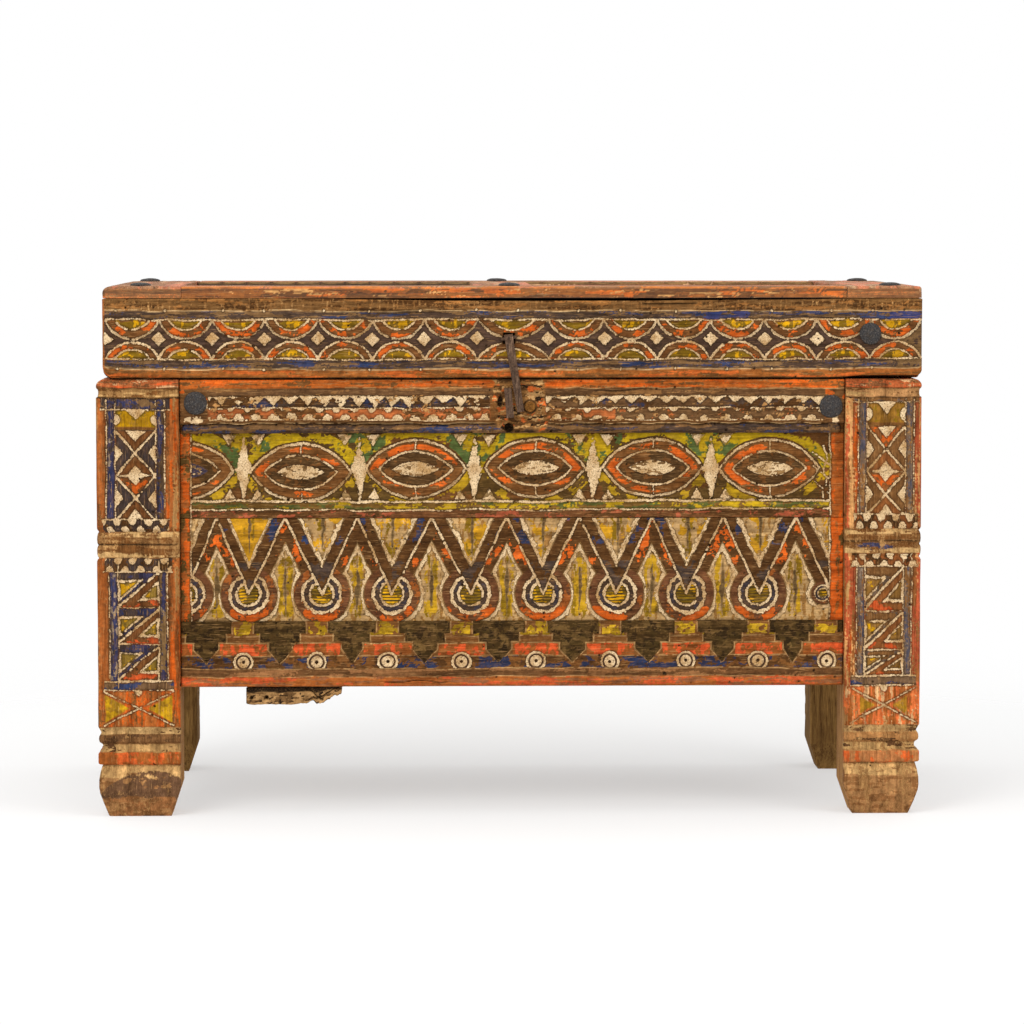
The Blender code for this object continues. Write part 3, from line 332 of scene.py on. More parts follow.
def tube_mesh(name, points, coat):
    """Close a grid of rings (stations, ring, 3) into a solid with flat ends, faces outward: each quad
    joins neighbours of two rings, and all are turned over if the volume they enclose is negative."""
    stations, ring = points.shape[:2]
    flat = points.reshape(-1, 3)
    i = np.arange(stations - 1)[:, None]
    j = np.arange(ring)[None, :]
    k = (j + 1) % ring
    quads = np.stack([i * ring + j, (i + 1) * ring + j, (i + 1) * ring + k, i * ring + k], -1).reshape(-1, 4)
    caps = [np.arange(ring), (stations - 1) * ring + np.arange(ring)[::-1]]
    a, b, c = (flat[quads[:, corner]] for corner in range(3))
    volume = np.einsum("ij,ij->i", np.cross(b - a, c - a), a - flat.mean(0)).sum()
    if volume < 0:
        quads = quads[:, ::-1]
        caps = [cap[::-1] for cap in caps]
    return put_mesh(name, flat, quads, caps, coat.reshape(-1, 10))


# Axes along, across and through a board, and which way its show face looks.
FACES = {"-y": (0, 2, 1, -1), "+y": (0, 2, 1, 1), "-x": (1, 2, 0, -1), "+x": (1, 2, 0, 1),
         "+z": (0, 1, 2, 1), "+z_deep": (1, 0, 2, 1)}
LIFT_FADE, DROP_FADE = 0.030, 0.012
BACK_STEP = 0.0004
CAP_SHRINK = 0.008
END_FLAKES = tint(182, 102, 48)


def edge_half(thick, bend, cell, edge_cell):
    """One edge of a board's section, from its back up to the flat of the face: distance in from the
    edge, depth, both parts of the outward normal, and the face coordinate from the edge inwards."""
    rows = max(1, int(round((thick - bend) / edge_cell)))
    deep = thick - (thick - bend) * np.arange(rows) / rows
    arc_n = max(3, int(round(bend * math.pi / 2 / cell)))
    arc = np.arange(arc_n) / arc_n * math.pi / 2
    edge = [deep * 0, deep, deep * 0 - 1, deep * 0, bend - bend * math.pi / 2 - (deep - bend)]
    arris = [bend - bend * np.cos(arc), bend - bend * np.sin(arc), -np.cos(arc), np.sin(arc),
             bend - bend * (math.pi / 2 - arc)]
    return np.concatenate([edge, arris], 1)


def board_section(width, thick, bends, cell, edge_cell):
    """Outline of a board's section round its show face: up one edge, over a rounded arris, across
    the face, over the other arris and down the other edge. Gives place across, depth, the outward
    normal and the face coordinate, which runs on past the arrises by arc length."""
    first = edge_half(thick, bends[0], cell, edge_cell)
    last = edge_half(thick, bends[1], cell, edge_cell)[:, ::-1]
    count = max(2, int(round((width - bends[0] - bends[1]) / cell)))
    flat = np.linspace(bends[0], width - bends[1], count + 1)
    face = [flat, flat * 0, flat * 0, flat * 0 + 1, flat]
    mirrored = [width - last[0], last[1], -last[2], last[3], width - last[4]]
    return np.concatenate([first, face, mirrored], 1)


def bared(coat):
    """The coat with nothing left on the wood."""
    bare = coat.copy()
    bare[..., COVERS] = 0.0
    bare[..., LIME] = NO_LIME
    return bare


def board(name, low, high, face, carve, cell=0.0011, bends=(0.002, 0.002), end_bend=0.002, edge_cell=0.004,
          lift=None, drop=None, end_colour=None, along_cell=None, flush=None, square=False):
    """Board from one corner to the other with its show face to one side: its rounded section is carried
    along its length, sunk along its normals by the carving, and drawn in at both ends. The lift raises
    the low edge by an amount for each place along, and the drop lowers the high edge; both fade out
    across the board. The back is bare. Along a flush edge (0 low, 1 high) the ends are rounded over the
    face only. The edges of a square board stay in their planes however deep the face is cut beside
    them: they begin at that depth."""
    along, side, through, sign = FACES[face]
    low = np.array(low, float)
    high = np.array(high, float)
    width = high[side] - low[side]
    thick = high[through] - low[through]
    across, depth, normal_b, normal_c, coordinate = board_section(width, thick, bends, cell, edge_cell)
    count = int(round((high[along] - low[along]) / (along_cell or cell))) + 1
    stretch = np.linspace(low[along], high[along], count)
    a, q = np.meshgrid(stretch, low[side] + coordinate, indexing="ij")
    carving = carve(a, q)
    end = np.minimum(a - low[along], high[along] - a)
    rounded = end_bend - np.sqrt(np.clip(end_bend ** 2 - (end_bend - end) ** 2, 0, None))
    drawn_in = np.where(end < end_bend, rounded, 0.0)
    cut = np.clip(carving.depth, 0, thick * 0.7)
    sunk_b = cut + drawn_in
    c_depth = depth + normal_c * sunk_b
    place = np.arange(len(across))
    if flush is not None:
        near = (place >= len(across) // 2) == bool(flush)
        sunk_b = np.where(near, cut, sunk_b)
        c_depth = np.where(near, np.maximum(depth + normal_c * cut, cut + drawn_in), c_depth)
    if square:
        on_face = (coordinate > bends[0] - 1e-9) & (coordinate < width - bends[1] + 1e-9)
        border = cut[:, np.clip(place, place[on_face][0], place[on_face][-1])]
        sunk_b = np.where(on_face, sunk_b, drawn_in)
        c_depth = np.where(on_face, c_depth, border + depth * (1 - border / thick) + normal_c * drawn_in)
    points = np.empty(a.shape + (3,))
    points[..., along] = a
    b_place = low[side] + across - normal_b * sunk_b
    if lift is not None:
        b_place = b_place + lift(a) * np.clip(1 - (b_place - low[side]) / LIFT_FADE, 0, 1)
    if drop is not None:
        b_place = b_place - drop(a) * np.clip(1 - (high[side] - b_place) / DROP_FADE, 0, 1)
    outer = high[through] if sign > 0 else low[through]
    points[..., side] = b_place
    points[..., through] = outer - sign * np.clip(c_depth, 0, thick)
    coat = carving.coat()
    back = points[:, [0, -1]].copy()
    back[..., side] += np.array((BACK_STEP, -BACK_STEP))
    plain = bared(coat[:, [0, -1]])
    points = np.concatenate([back[:, :1], points, back[:, 1:]], 1)
    coat = np.concatenate([plain[:, :1], coat, plain[:, 1:]], 1)
    bare = bared(coat[[0, -1]])
    if end_colour is not None:
        bare[..., :8] = (*end_colour, 0.85, *END_FLAKES, 0.38)
    caps = points[[0, -1]] * (1 - CAP_SHRINK) + points[[0, -1]].mean(1, keepdims=True) * CAP_SHRINK
    caps[..., along] = points[[0, -1]][..., along]
    points = np.concatenate([caps[:1], points, caps[1:]])
    return tube_mesh(name, points, np.concatenate([bare[:1], coat, bare[1:]]))


# ---- carvings of the front, drawn in columns and rows ----

LID_GAP = (-0.09, 0.405, 0.03)  # where the lid's front has warped away from its top
GEMS = (107.0, 159.7, 213, 265.6, 318.7, 372.9, 424.6, 477.2, 548.5, 604.6, 656.7, 710.8, 764.3, 816.9, 870.6,
        922.0)
EYES = ((183.0, 471.0), (300.6, 472.6), (415.5, 469.4), (535.6, 468.4), (653.4, 468.4), (770.9, 469.0),
        (889.0, 469.0))
SPINDLES = (243.7, 359.3, 474.7, 594.0, 712.4)
RINGS = (184.0, 248.0, 321.6, 391.7, 471.0, 542.8, 617.4, 687.8, 760.8, 834.0)
SPOTS = (168.0, 242.4, 316.0, 387.0, 461.5, 536.0, 611.0, 687.3, 760.0, 828.8)


def wander(u, v, seed, amount=1.5):
    """Move every point a little, by smooth noise, as a hand strays from the drawn line."""
    return (u + amount * (layered_noise(u / 17.0, v / 17.0, seed, 2) - 0.5),
            v + amount * (layered_noise(u / 17.0, v / 17.0, seed + 5, 2) - 0.5))


def age(c, loss=0.35, long_u=24.0, long_v=4.0):
    """Rub coat and lime off in streaks along the grain, lay mud on, and make every colour uneven."""
    c.cover = c.cover * (1 - loss * c.patches(50, long_u, long_v, 0.52, 0.74))
    fibre = layered_noise(c.u / (long_u * 0.5), c.v / (long_v * 0.28), c.seed + 52, 3)
    c.cover = c.cover * (1 - 0.7 * loss * step(fibre, 0.5, 0.75))
    c.lime = c.lime - 1.1 * loss * step(fibre, 0.56, 0.82) - 1.6 * loss * c.patches(55, 9, 7, 0.64, 0.84)
    mud = (0.02 + 0.30 * layered_noise(c.u / 8.0, c.v / 6.0, c.seed + 53, 4))[..., None]
    shade = 0.76 + 0.30 * layered_noise(c.u / 6.0, c.v / 3.0, c.seed + 51, 3)
    shade = (shade + 0.22 * layered_noise(c.u / 1.5, c.v / 1.3, c.seed + 54, 2))[..., None]
    c.rgb = (c.rgb * (1 - mud) + MUD * mud) * shade
    c.flake_rgb = (c.flake_rgb * (1 - mud * 0.6) + MUD * mud * 0.6) * shade


def halfway(places, margin):
    """Left and right limit of each place in a row: halfway to its neighbour, and a margin off at both ends."""
    middles = [(left + right) / 2 for left, right in zip(places[:-1], places[1:])]
    return [places[0] - margin] + middles, middles + [places[-1] + margin]


def end_strips(c, left, left_line, wide, right_coat, *coats):
    """Plain strips at both ends of a panel, rust under chips of other coats, one of them at the right end
    only, with a line cut along each."""
    strip = inside(c.u - left, 0.8) + inside(832.5 - c.u, 0.8)
    c.raise_up(strip)
    c.dress(strip, RUST, 0.9, *coats)
    c.chips(strip * (c.u > 800), right_coat)
    for at in (left_line, 832.0):
        c.line(c.u - at, wide, 0.0006)


def carve_lid_front(a, q):
    """Lid front: plain top band, two dark strips, and between them two rows of half rounds with
    diamonds in the gaps; the half rounds are circle caps on the chord from diamond to diamond."""
    u, v = wander(column(a), row(q), 18, 1.6)
    c = Carving(u, v, 11, tint(122, 86, 48), 0.75)
    c.chips(between(v, 270, 311), (20, 26, 3, 0.48, 0.66, DARK_BROWN, 0.8), (21, 2, 9, 0.6, 0.74, WOOD, 0.4),
            (22, 30, 4, 0.70, 0.80, tint(156, 104, 54), 0.8))
    for top, bottom in ((312.0, 319.6), (360.2, 368.6)):
        c.dress(between(v, top, bottom), BLUE_BLACK, 0.92, (8, 22, 2, 0.53, 0.67, tint(122, 92, 60), 0.8),
                (1, 30, 3, 0.60, 0.76, ULTRAMARINE, 0.8))
    c.paint(between(v, 370, 392), tint(158, 92, 40), 0.8)
    c.chips(between(v, 371, 392), (2, 40, 4, 0.56, 0.7, tint(200, 100, 42), 0.8), (6, 34, 3, 0.6, 0.72, BROWN, 0.8))
    field = between(v, 320.6, 359.0)
    c.paint(field, tint(76, 60, 54), 0.95)
    c.chips(between(v, 320.6, 369.0) * inside(899 - u, 4), (23, 9, 9, 0.28, 0.42, tint(122, 94, 62), 0.85))
    c.sink(field, 0.0021)
    for left, right in zip(GEMS[:-1], GEMS[1:]):
        away = u - (left + right) / 2
        half = (right - left) / 2
        for chord, way, tall in ((320.0, 1.0, 19.0), (359.6, -1.0, 17.4)):
            y = (v - chord) * way
            outer = round_cap(away, y, half, tall)
            inner = round_cap(away, y, half * 0.65, 10.0)
            here = (y > -0.4) & (y < 21)
            cap = inside(outer, 0.7) * here
            c.raise_up(cap)
            c.paint(cap, tint(106, 66, 34), 0.95)
            c.chips(cap * inside(-inner), (3, 11, 7, 0.58, 0.68, ORANGE * 0.92, 0.9))
            disc = inside(inner) * here
            c.sink(disc, 0.0005)
            c.dress(disc, OLIVE * 0.75, 0.95, (4, 4, 9, 0.55, 0.66, OCHRE * 0.84, 0.9))
            c.chips(disc * between(y, -1, 2.6), (5, 9, 9, 0.4, 0.5, BROWN, 0.9))
            c.line(only(here, outer), 2.1)
            c.line(only(here, inner), 1.8)
    for gem in GEMS[:-2]:
        diamond = (np.abs(u - gem) / 7.7 + np.abs(v - 339.2) / 7.2 - 1) * 5.2
        c.raise_up(inside(diamond, 0.9))
        c.limed(diamond)
    stray = (smooth_noise(u / 40.0, u * 0, 13) - 0.5) * 1.2
    for at, wide in ((320.1, 1.7), (359.5, 1.5)):
        c.line(v - at - stray, wide)
    for at in (311.4, 369.5):
        c.hairline(v - at - stray, 1.3, tint(226, 190, 138), 0.2)
        for k in range(17):
            c.limed(np.hypot(u - 118 - 50.6 * k - 5 * math.sin(3.7 * k), v - at) - 1.3)
    c.chips(between(v, 312, 319.6) * (between(u, 705, 750, 6) + between(u, 885, 925, 6)),
            (7, 14, 4, 0.34, 0.5, tint(44, 56, 102), 0.85))
    c.paint(inside(u - 106.0, 0.8) * between(v, 300, 392), tint(172, 100, 50), 0.85)
    age(c, 0.24)
    c.holes(70, 14)
    c.crack(640, 700, 303, 16, 0.4)
    c.tooling(0.0006, 17, 30, 6)
    # The hasp's pocket: a dark brown rim and a black inside, painted shade in the hole.
    pocket = np.maximum(np.abs(column(a) - 508.8) - 5.6, np.abs(row(q) - 338.8) - 5.2)
    c.paint(inside(pocket - 0.9), DARK_BROWN, 0.9)
    c.paint(inside(pocket, 0.4), SHADE_AND_DIRT_BLACK, 1.0)
    c.sink(inside(pocket, 0.4), 0.0078)
    # Painted shadow in the gap where the lid's front has warped away from its top.
    c.paint(step(q, 0.6288, 0.6296) * between(a, *LID_GAP), SHADE_AND_DIRT_BLACK, 1.0)
    # Painted shadow along the lid front's lower arris, in the gap over the rail.
    c.paint(between(row(q), 378.2, 381.0, 0.35), SHADE_AND_DIRT_BLACK, 1.0)
    return c


def carve_top_rail(a, q):
    """Front top rail: a zigzag over a wavy row of half discs, and a half-round bead below, all worn
    away round the lock."""
    u, v = wander(column(a), row(q), 28)
    c = Carving(u, v, 21, BROWN, 0.75)
    c.paint(between(v, 360, 388.5), tint(184, 94, 34), 0.85)
    c.chips(between(v, 360, 388), (1, 36, 4, 0.54, 0.7, ORANGE, 0.85), (12, 30, 3, 0.64, 0.76, BROWN, 0.85))
    c.dress(between(v, 388.5, 397), tint(94, 66, 42), 0.9, (2, 34, 3, 0.56, 0.7, tint(128, 90, 52), 0.85))
    c.hairline(only((u > 345) & (np.abs(u - 519) > 36), v - 388.2), 1.4)
    part = between(u, 208, 490, 1.2) + between(u, 545, 826, 1.2)
    left = u < 517
    tu, tv = wander(u, v, 27, 2.4)
    tooth = ((tu - 213) / 17.1) % 1.0
    down = np.where(left, 9.6, 7.0) * (1 - np.abs(2 * tooth - 1))
    zigzag = part * between(v, 397, 408)
    c.dress(zigzag, BLUE_BLACK, 0.95, (3, 16, 12, 0.46, 0.58, DARK_BROWN, 0.95),
            (30, 22, 12, 0.60, 0.7, ULTRAMARINE * 0.9, 0.95))
    c.chips(zigzag * between(u, 545, 735, 2), (36, 14, 9, 0.3, 0.42, tint(100, 71, 45), 0.95))
    c.sink(zigzag, 0.0012)
    c.stand((tv - 397.5 - down) * 0.62, zigzag, 0.55)
    pitch = np.where(left, 17.6, 21.4)
    wave = ((tu - np.where(left, 213, 545)) / pitch) % 1.0
    discs = part * between(v, 408.6, 419.4)
    c.dress(discs, tint(196, 108, 58), 0.95, (4, 15, 9, 0.5, 0.62, BROWN, 0.9))
    c.chips(discs * inside(616 - u, 4), (37, 12, 8, 0.2, 0.3, tint(106, 76, 48), 0.95))
    c.sink(discs, 0.0010)
    c.stand(np.hypot((wave - 0.5) * pitch, (tv - 420.0) * 0.95) - np.where(left, 5.8, 5.0), discs)
    c.stand(np.hypot((np.abs(wave - 0.5) - 0.5) * pitch, tv - 408.0) - 4.2, discs)
    for at, wide in ((396.9, 1.4), (408.2, 1.2), (420.2, 1.7)):
        c.line(only(part > 0.5, v - at), wide)
    c.chips(part * between(v, 395, 421), (31, 12, 4, 0.78, 0.88, DARK_BROWN, 0.8),
            (32, 9, 5, 0.80, 0.9, tint(190, 140, 84), 0.7))
    c.paint(between(v, 421.2, 424.6), DARK_BROWN, 0.9)
    c.hairline(v - 423.6, 1.9, tint(214, 176, 124))
    bead = np.hypot(np.clip(np.maximum(187 - u, u - 838), 0, None), v - 429.0) / 4.8
    bulge = np.sqrt(np.clip(1 - bead ** 2, 0, 1))
    shelf = between(v, 424.0, 450.0)
    c.depth = c.depth * (1 - shelf) + shelf * (0.0064 - 0.0060 * bulge)
    c.paint(shelf, BROWN, 0.8)
    c.dress(inside((bead - 1) * 4.8), BLUE_BLACK, 0.95, (5, 34, 3, 0.58, 0.7, ULTRAMARINE, 0.7),
            (13, 24, 3, 0.52, 0.66, tint(120, 88, 56), 0.85))
    ends = (inside(u - 208, 2) + inside(826 - u, 2)) * between(v, 389, 424)
    c.dress(ends, tint(104, 70, 40), 0.9, (6, 9, 7, 0.62, 0.72, CREAM, 0.85))
    c.chips(ends * inside(v - 400, 4), (7, 12, 7, 0.6, 0.7, ORANGE * 0.85, 0.9))
    age(c, 0.32)
    ragged = 9 * (layered_noise(u / 11.0, v / 11.0, 22, 3) - 0.5)
    scar = inside(np.maximum(np.abs(u - 519) - 26, np.abs(v - 405) - 27) + ragged, 2.0)
    c.dress(scar, tint(160, 112, 62), 0.5, (8, 12, 3, 0.46, 0.6, tint(98, 64, 34), 0.8),
            (33, 7, 3, 0.62, 0.72, SHADE_AND_DIRT_BLACK, 0.9), (34, 9, 4, 0.62, 0.72, tint(206, 160, 104), 0.8),
            (35, 9, 5, 0.68, 0.76, tint(204, 100, 44), 0.8))
    c.depth = c.depth * (1 - scar) + scar * (0.0006 + 0.0026 * layered_noise(u / 9.0, v / 7.0, 23, 3))
    rim = np.hypot(column(a) - 530.0, row(q) - 407.0) - 6.3
    c.paint(inside(np.abs(rim) - 1.0, 0.7), DARK_BROWN * 0.6, 0.95)
    for hole in ((509.0, 428.5, 4.6, 0.010), (551, 432, 1.5, 0.004), (471, 434, 1.7, 0.004),
                 (500.3, 402, 2.8, 0.005, 2.0)):
        c.pit(*hole)
    c.holes(40, 24)
    c.crack(590, 650, 391, 25, 0.35)
    # Painted shadow along the rail's top arris, in the gap under the lid.
    c.paint(between(row(q), 378.0, 380.1, 0.3), SHADE_AND_DIRT_BLACK, 1.0)
    c.tooling(0.0005, 26, 26, 6)
    return c


def carve_eye_panel(a, q):
    """Upper panel: a row of eyes, each three lens shapes inside one another, with a cream spindle and
    pairs of small triangles between neighbours."""
    u, v = wander(column(a), row(q), 38)
    c = Carving(u, v, 31, DARK_OLIVE, 0.95)
    c.sink(np.ones_like(u), 0.0020)
    c.chips(1.0, (1, 26, 16, 0.46, 0.6, BROWN * 0.9, 0.9))
    for cu, cv in EYES:
        big = lens(u, v, cu, cv, 100, 57)
        away = np.abs(u - cu)
        over = between(big, 3.0, 15.0, 1.2) * (v < cv)
        c.chips(over * between(away, -9, 62, 4), (2, 22, 9, 0.22, 0.38, tint(202, 168, 24), 0.92))
        c.chips(over * between(away, 30, 70, 4), (3, 12, 10, 0.52, 0.62, GREEN, 0.9))
        c.chips(between(big, 2.5, 11.0, 1.2) * (v > cv), (4, 12, 9, 0.44, 0.56, tint(188, 150, 28), 0.9))
    for cu in SPINDLES:
        level = np.abs(v - 469.5)
        along = np.clip(1 - level / 33.0, 0, 1)
        ragged = 1.6 * (smooth_noise(v / 2.2, u * 0 + cu, 32) - 0.5)
        spindle = np.abs(u - cu - ragged) - 8.8 * (0.45 * along ** 0.5 + 0.55 * along ** 2.2)
        spindle = np.where(level < 33.0, spindle, 9.0)
        c.chips(inside(np.abs(u - cu) - 12, 2.0) * between(v, 430, 452, 3.0),
                (19, 8, 10, 0.30, 0.46, GOLD, 0.92), (20, 9, 9, 0.60, 0.70, GREEN, 0.9))
        c.raise_up(inside(spindle, 1.0))
        c.limed(spindle + 2.2 * step(c.noise(2.0, 2.4, 36, 2), 0.55, 0.85))
        for side in (-14.2, 14.2):
            for tip, base, half in ((448.0, 434.0, 8.6), (488.0, 500.5, 7.4)):
                small = wedge(u, v, (cu + side, tip), base, half)
                c.raise_up(inside(small, 0.8))
                c.limed(small + 0.6)
                c.chips(inside(small + 0.5), (18, 4, 5, 0.58, 0.7, tint(142, 114, 74), 0.85))
    chalky = 1.2 * c.noise(2.4, 1.5, 37, 3)
    for cu, cv in EYES:
        big, mid, pupil = (lens(u, v, cu, cv, *size) for size in ((100, 57), (73, 34.5), (50, 16)))
        c.raise_up(inside(big, 1.0))
        c.paint(inside(big), BROWN, 0.95)
        c.chips(inside(big + 3.5) * inside(-mid - 1.5), (5, 20, 7, 0.46, 0.6, ORANGE, 0.93))
        c.dress(inside(mid), tint(76, 54, 30), 0.95, (6, 9, 6, 0.56, 0.66, BROWN, 0.8))
        c.sink(inside(mid), 0.0009)
        c.raise_up(inside(pupil, 0.9))
        if cu < 190:
            c.paint(inside(pupil), tint(52, 54, 78), 0.95)
            c.limed(np.abs(pupil + 3.0) - chalky)
        else:
            c.limed(pupil + chalky)
        c.chips(inside(pupil + 1.5), (17, 5, 1.6, 0.58, 0.7, tint(140, 108, 68), 0.85))
        c.line(big, 2.3)
        c.line(mid, 1.9)
        for way in (-1, 1):
            c.line(segment(u, v, (cu, cv + way * 18), (cu + 1, cv + way * 27)), 1.1, 0.0005)
    c.depth = np.where(between(v, 501, 519) > 0.5, 0.0006, c.depth)
    c.dress(between(v, 502.2, 509.4), tint(122, 90, 40), 0.9, (8, 26, 6, 0.54, 0.64, tint(88, 96, 46), 0.85),
            (9, 18, 6, 0.60, 0.68, GOLD, 0.9))
    c.dress(between(v, 510.4, 530), tint(112, 70, 40), 0.88, (10, 24, 5, 0.50, 0.62, DARK_BROWN, 0.85),
            (21, 10, 3, 0.66, 0.76, tint(168, 84, 56), 0.85))
    for at, wide in ((501.6, 2.0), (510.0, 1.5)):
        c.line(v - at - (smooth_noise(u / 30.0, u * 0, 33) - 0.5) * 1.6, wide)
    end_strips(c, 190.5, 191.0, 1.2, (13, 4, 20, 0.3, 0.44, tint(164, 86, 34), 0.95),
               (11, 6, 14, 0.42, 0.56, ORANGE, 0.95), (12, 9, 14, 0.62, 0.7, DARK_OLIVE, 0.9))
    c.line(only(between(v, 446, 499) > 0.5, u - 827 - 1.6 * np.sin(v / 4.0)), 1.3, 0.0005, 0.7)
    for base in (462.0, 476.0, 490.0):
        c.line(segment(u, v, (815, base - 9), (831, base + 4)), 1.2, 0.0005, 0.7)
    age(c, 0.25)
    c.holes(60, 34)
    c.tooling(0.0005, 35, 26, 7)
    return c


def straw_field(c, shape, soft, deep, margin, seed):
    """Sunk straw-coloured field with torn tan streaks and a broad limed edge."""
    c.sink(inside(shape, soft), deep)
    c.paint(inside(shape), STRAW, 0.92)
    c.chips(inside(shape + margin), (seed, 3, 12, 0.56, 0.68, tint(168, 122, 66), 0.9))
    c.limed(np.abs(shape + 2.2) - 2.0 + 2.6 * (c.noise(3.0, 3.0, 42, 2) - 0.5))


def dark_slit(c, slit, deep):
    """Narrow cut down the middle of a leaf, dark at its bottom."""
    c.paint(slit * 0.8, tint(50, 40, 17), 0.95)
    c.sink(slit, deep)


def carve_v_panel(a, q):
    """Lower panel: rings with a V standing on each; between them leaves, which are all that the rings
    and the bands along the Vs leave over, with a dark slit down the middle."""
    u, v = wander(column(a), row(q), 48)
    c = Carving(u, v, 41, OLIVE, 0.95)
    peak, heart = 519.5, 594.5
    tall = heart - peak
    lefts, rights = halfway(RINGS, 36.0)
    sizes = [0.42 if cu > 830 else 1.0 for cu in RINGS]
    spreads = [np.hypot(u - cu + 14 * (1 - size), v - heart) for cu, size in zip(RINGS, sizes)]
    leaf = np.full_like(u, FAR)
    for cu, left, right, size, spread in zip(RINGS, lefts, rights, sizes, spreads):
        leaf = np.minimum(leaf, spread - 28.3 * size)
        for side in (left, right):
            leaf = np.minimum(leaf, segment(u, v, (side, peak), (cu, heart)) - 10.0)
    straw_field(c, -leaf, 0.9, 0.0022, 0.0, 30)
    uneven = 0.4 + 1.2 * c.noise(2.0, 5.0, 46, 2)
    for mid in lefts[1:]:
        away = np.abs(u - mid)
        level = np.abs(v - 588)
        c.chips(inside(away - 7.5, 4.0) * between(v, 556, 618, 8) * inside(2.5 - leaf),
                (1, 5, 16, 0.40, 0.6, tint(206, 160, 34), 0.92), (13, 4, 14, 0.55, 0.7, OLIVE, 0.9))
        thick = 2.4 * np.clip(1 - level / 30.0, 0, 1) * uneven
        dark_slit(c, inside(np.maximum(away - thick, level - 28), 0.9), 0.0030)
    band = inside(leaf)
    c.paint(band, DARK_BROWN, 0.95)
    c.chips(band * inside(v - 566, 9), (2, 8, 12, 0.54, 0.66, ORANGE, 0.93))
    for cu, left, right, size, spread in zip(RINGS, lefts, rights, sizes, spreads):
        spread = spread / size
        away = np.abs(u - cu)
        disc = inside(spread - 28.2)
        c.dress(disc, tint(98, 60, 38), 0.95, (3, 14, 14, 0.66, 0.76, RUST * 0.8, 0.9))
        c.chips(disc * inside(heart + 13 - v, 4), (4, 12, 12, 0.34, 0.48, ORANGE * 0.9, 0.9))
        c.dress(inside(spread - 18.6), BLUE_BLACK, 0.95, (5, 13, 13, 0.5, 0.6, tint(58, 56, 66), 0.95))
        c.sink(inside(np.abs(spread - 15.3) - 2.0, 0.9), 0.0010)
        core = inside(spread - 11.0)
        c.paint(core, OLIVE * 0.7, 0.95)
        stripes = step(np.sin(v * 2.05 + 1.2 * layered_noise(u / 9.0, v / 3.0, 43, 2)), 0.0, 0.5)
        c.paint(core * stripes, tint(64, 54, 24), 0.9)
        c.chips(core * (1 - stripes), (6, 10, 10, 0.50, 0.62, OCHRE * 0.9, 0.9))
        c.line(spread - 18.9, 3.3, 0.0011, 0.6)
        c.line(spread - 11.9, 2.5, 0.0010, 0.6)
        half = np.where(u < cu, cu - left, right - cu)
        vee = np.maximum((away * tall - (heart - v) * half) / np.hypot(tall, half), v - heart)
        c.paint(inside(vee), DARK_BROWN, 0.95)
        c.chips(inside(vee) * inside(np.abs(v - 580) - 18, 4), (7, 12, 12, 0.48, 0.6, BLUE_BLACK, 0.95))
        c.chips(inside(vee) * inside(v - 545, 9), (8, 10, 10, 0.62, 0.72, ULTRAMARINE * 0.8, 0.85))
        c.raise_up(inside(vee + 1.5))
        reach, narrow = 48.5, half * 0.64
        gap = (away * reach - (peak + reach - v) * narrow) / np.hypot(reach, narrow)
        gap = np.maximum(gap, peak - 30 - v)
        straw_field(c, gap, 0.8, 0.0018, 1.0, 31)
        gold = 0.1 if abs(cu - 248) < 1 else 0.54
        c.chips(inside(gap + 2.5), (9, 9, 14, gold, gold + 0.16, tint(218, 160, 34), 0.95))
        c.chips(inside(gap + 3.4) * inside(away - 6, 4), (10, 5, 12, 0.5, 0.64, OLIVE, 0.85))
        thick = 1.9 * np.clip((560 - v) / 34.0, 0, 1) * uneven
        dark_slit(c, inside(np.abs(u - cu - 1) - thick, 0.9) * inside(gap + 2) * (v < 560), 0.0026)
        for side in (left, right):
            c.line(segment(u, v, (side, peak - 2), (cu, heart)), 2.2, 0.0010)
    end_strips(c, 190.0, 190.6, 1.3, (14, 4, 20, 0.3, 0.44, ORANGE, 0.95),
               (11, 6, 14, 0.46, 0.58, ORANGE, 0.95), (12, 10, 12, 0.60, 0.68, DARK_OLIVE, 0.9))
    age(c, 0.25)
    c.holes(90, 44)
    c.tooling(0.0005, 45, 26, 7)
    return c


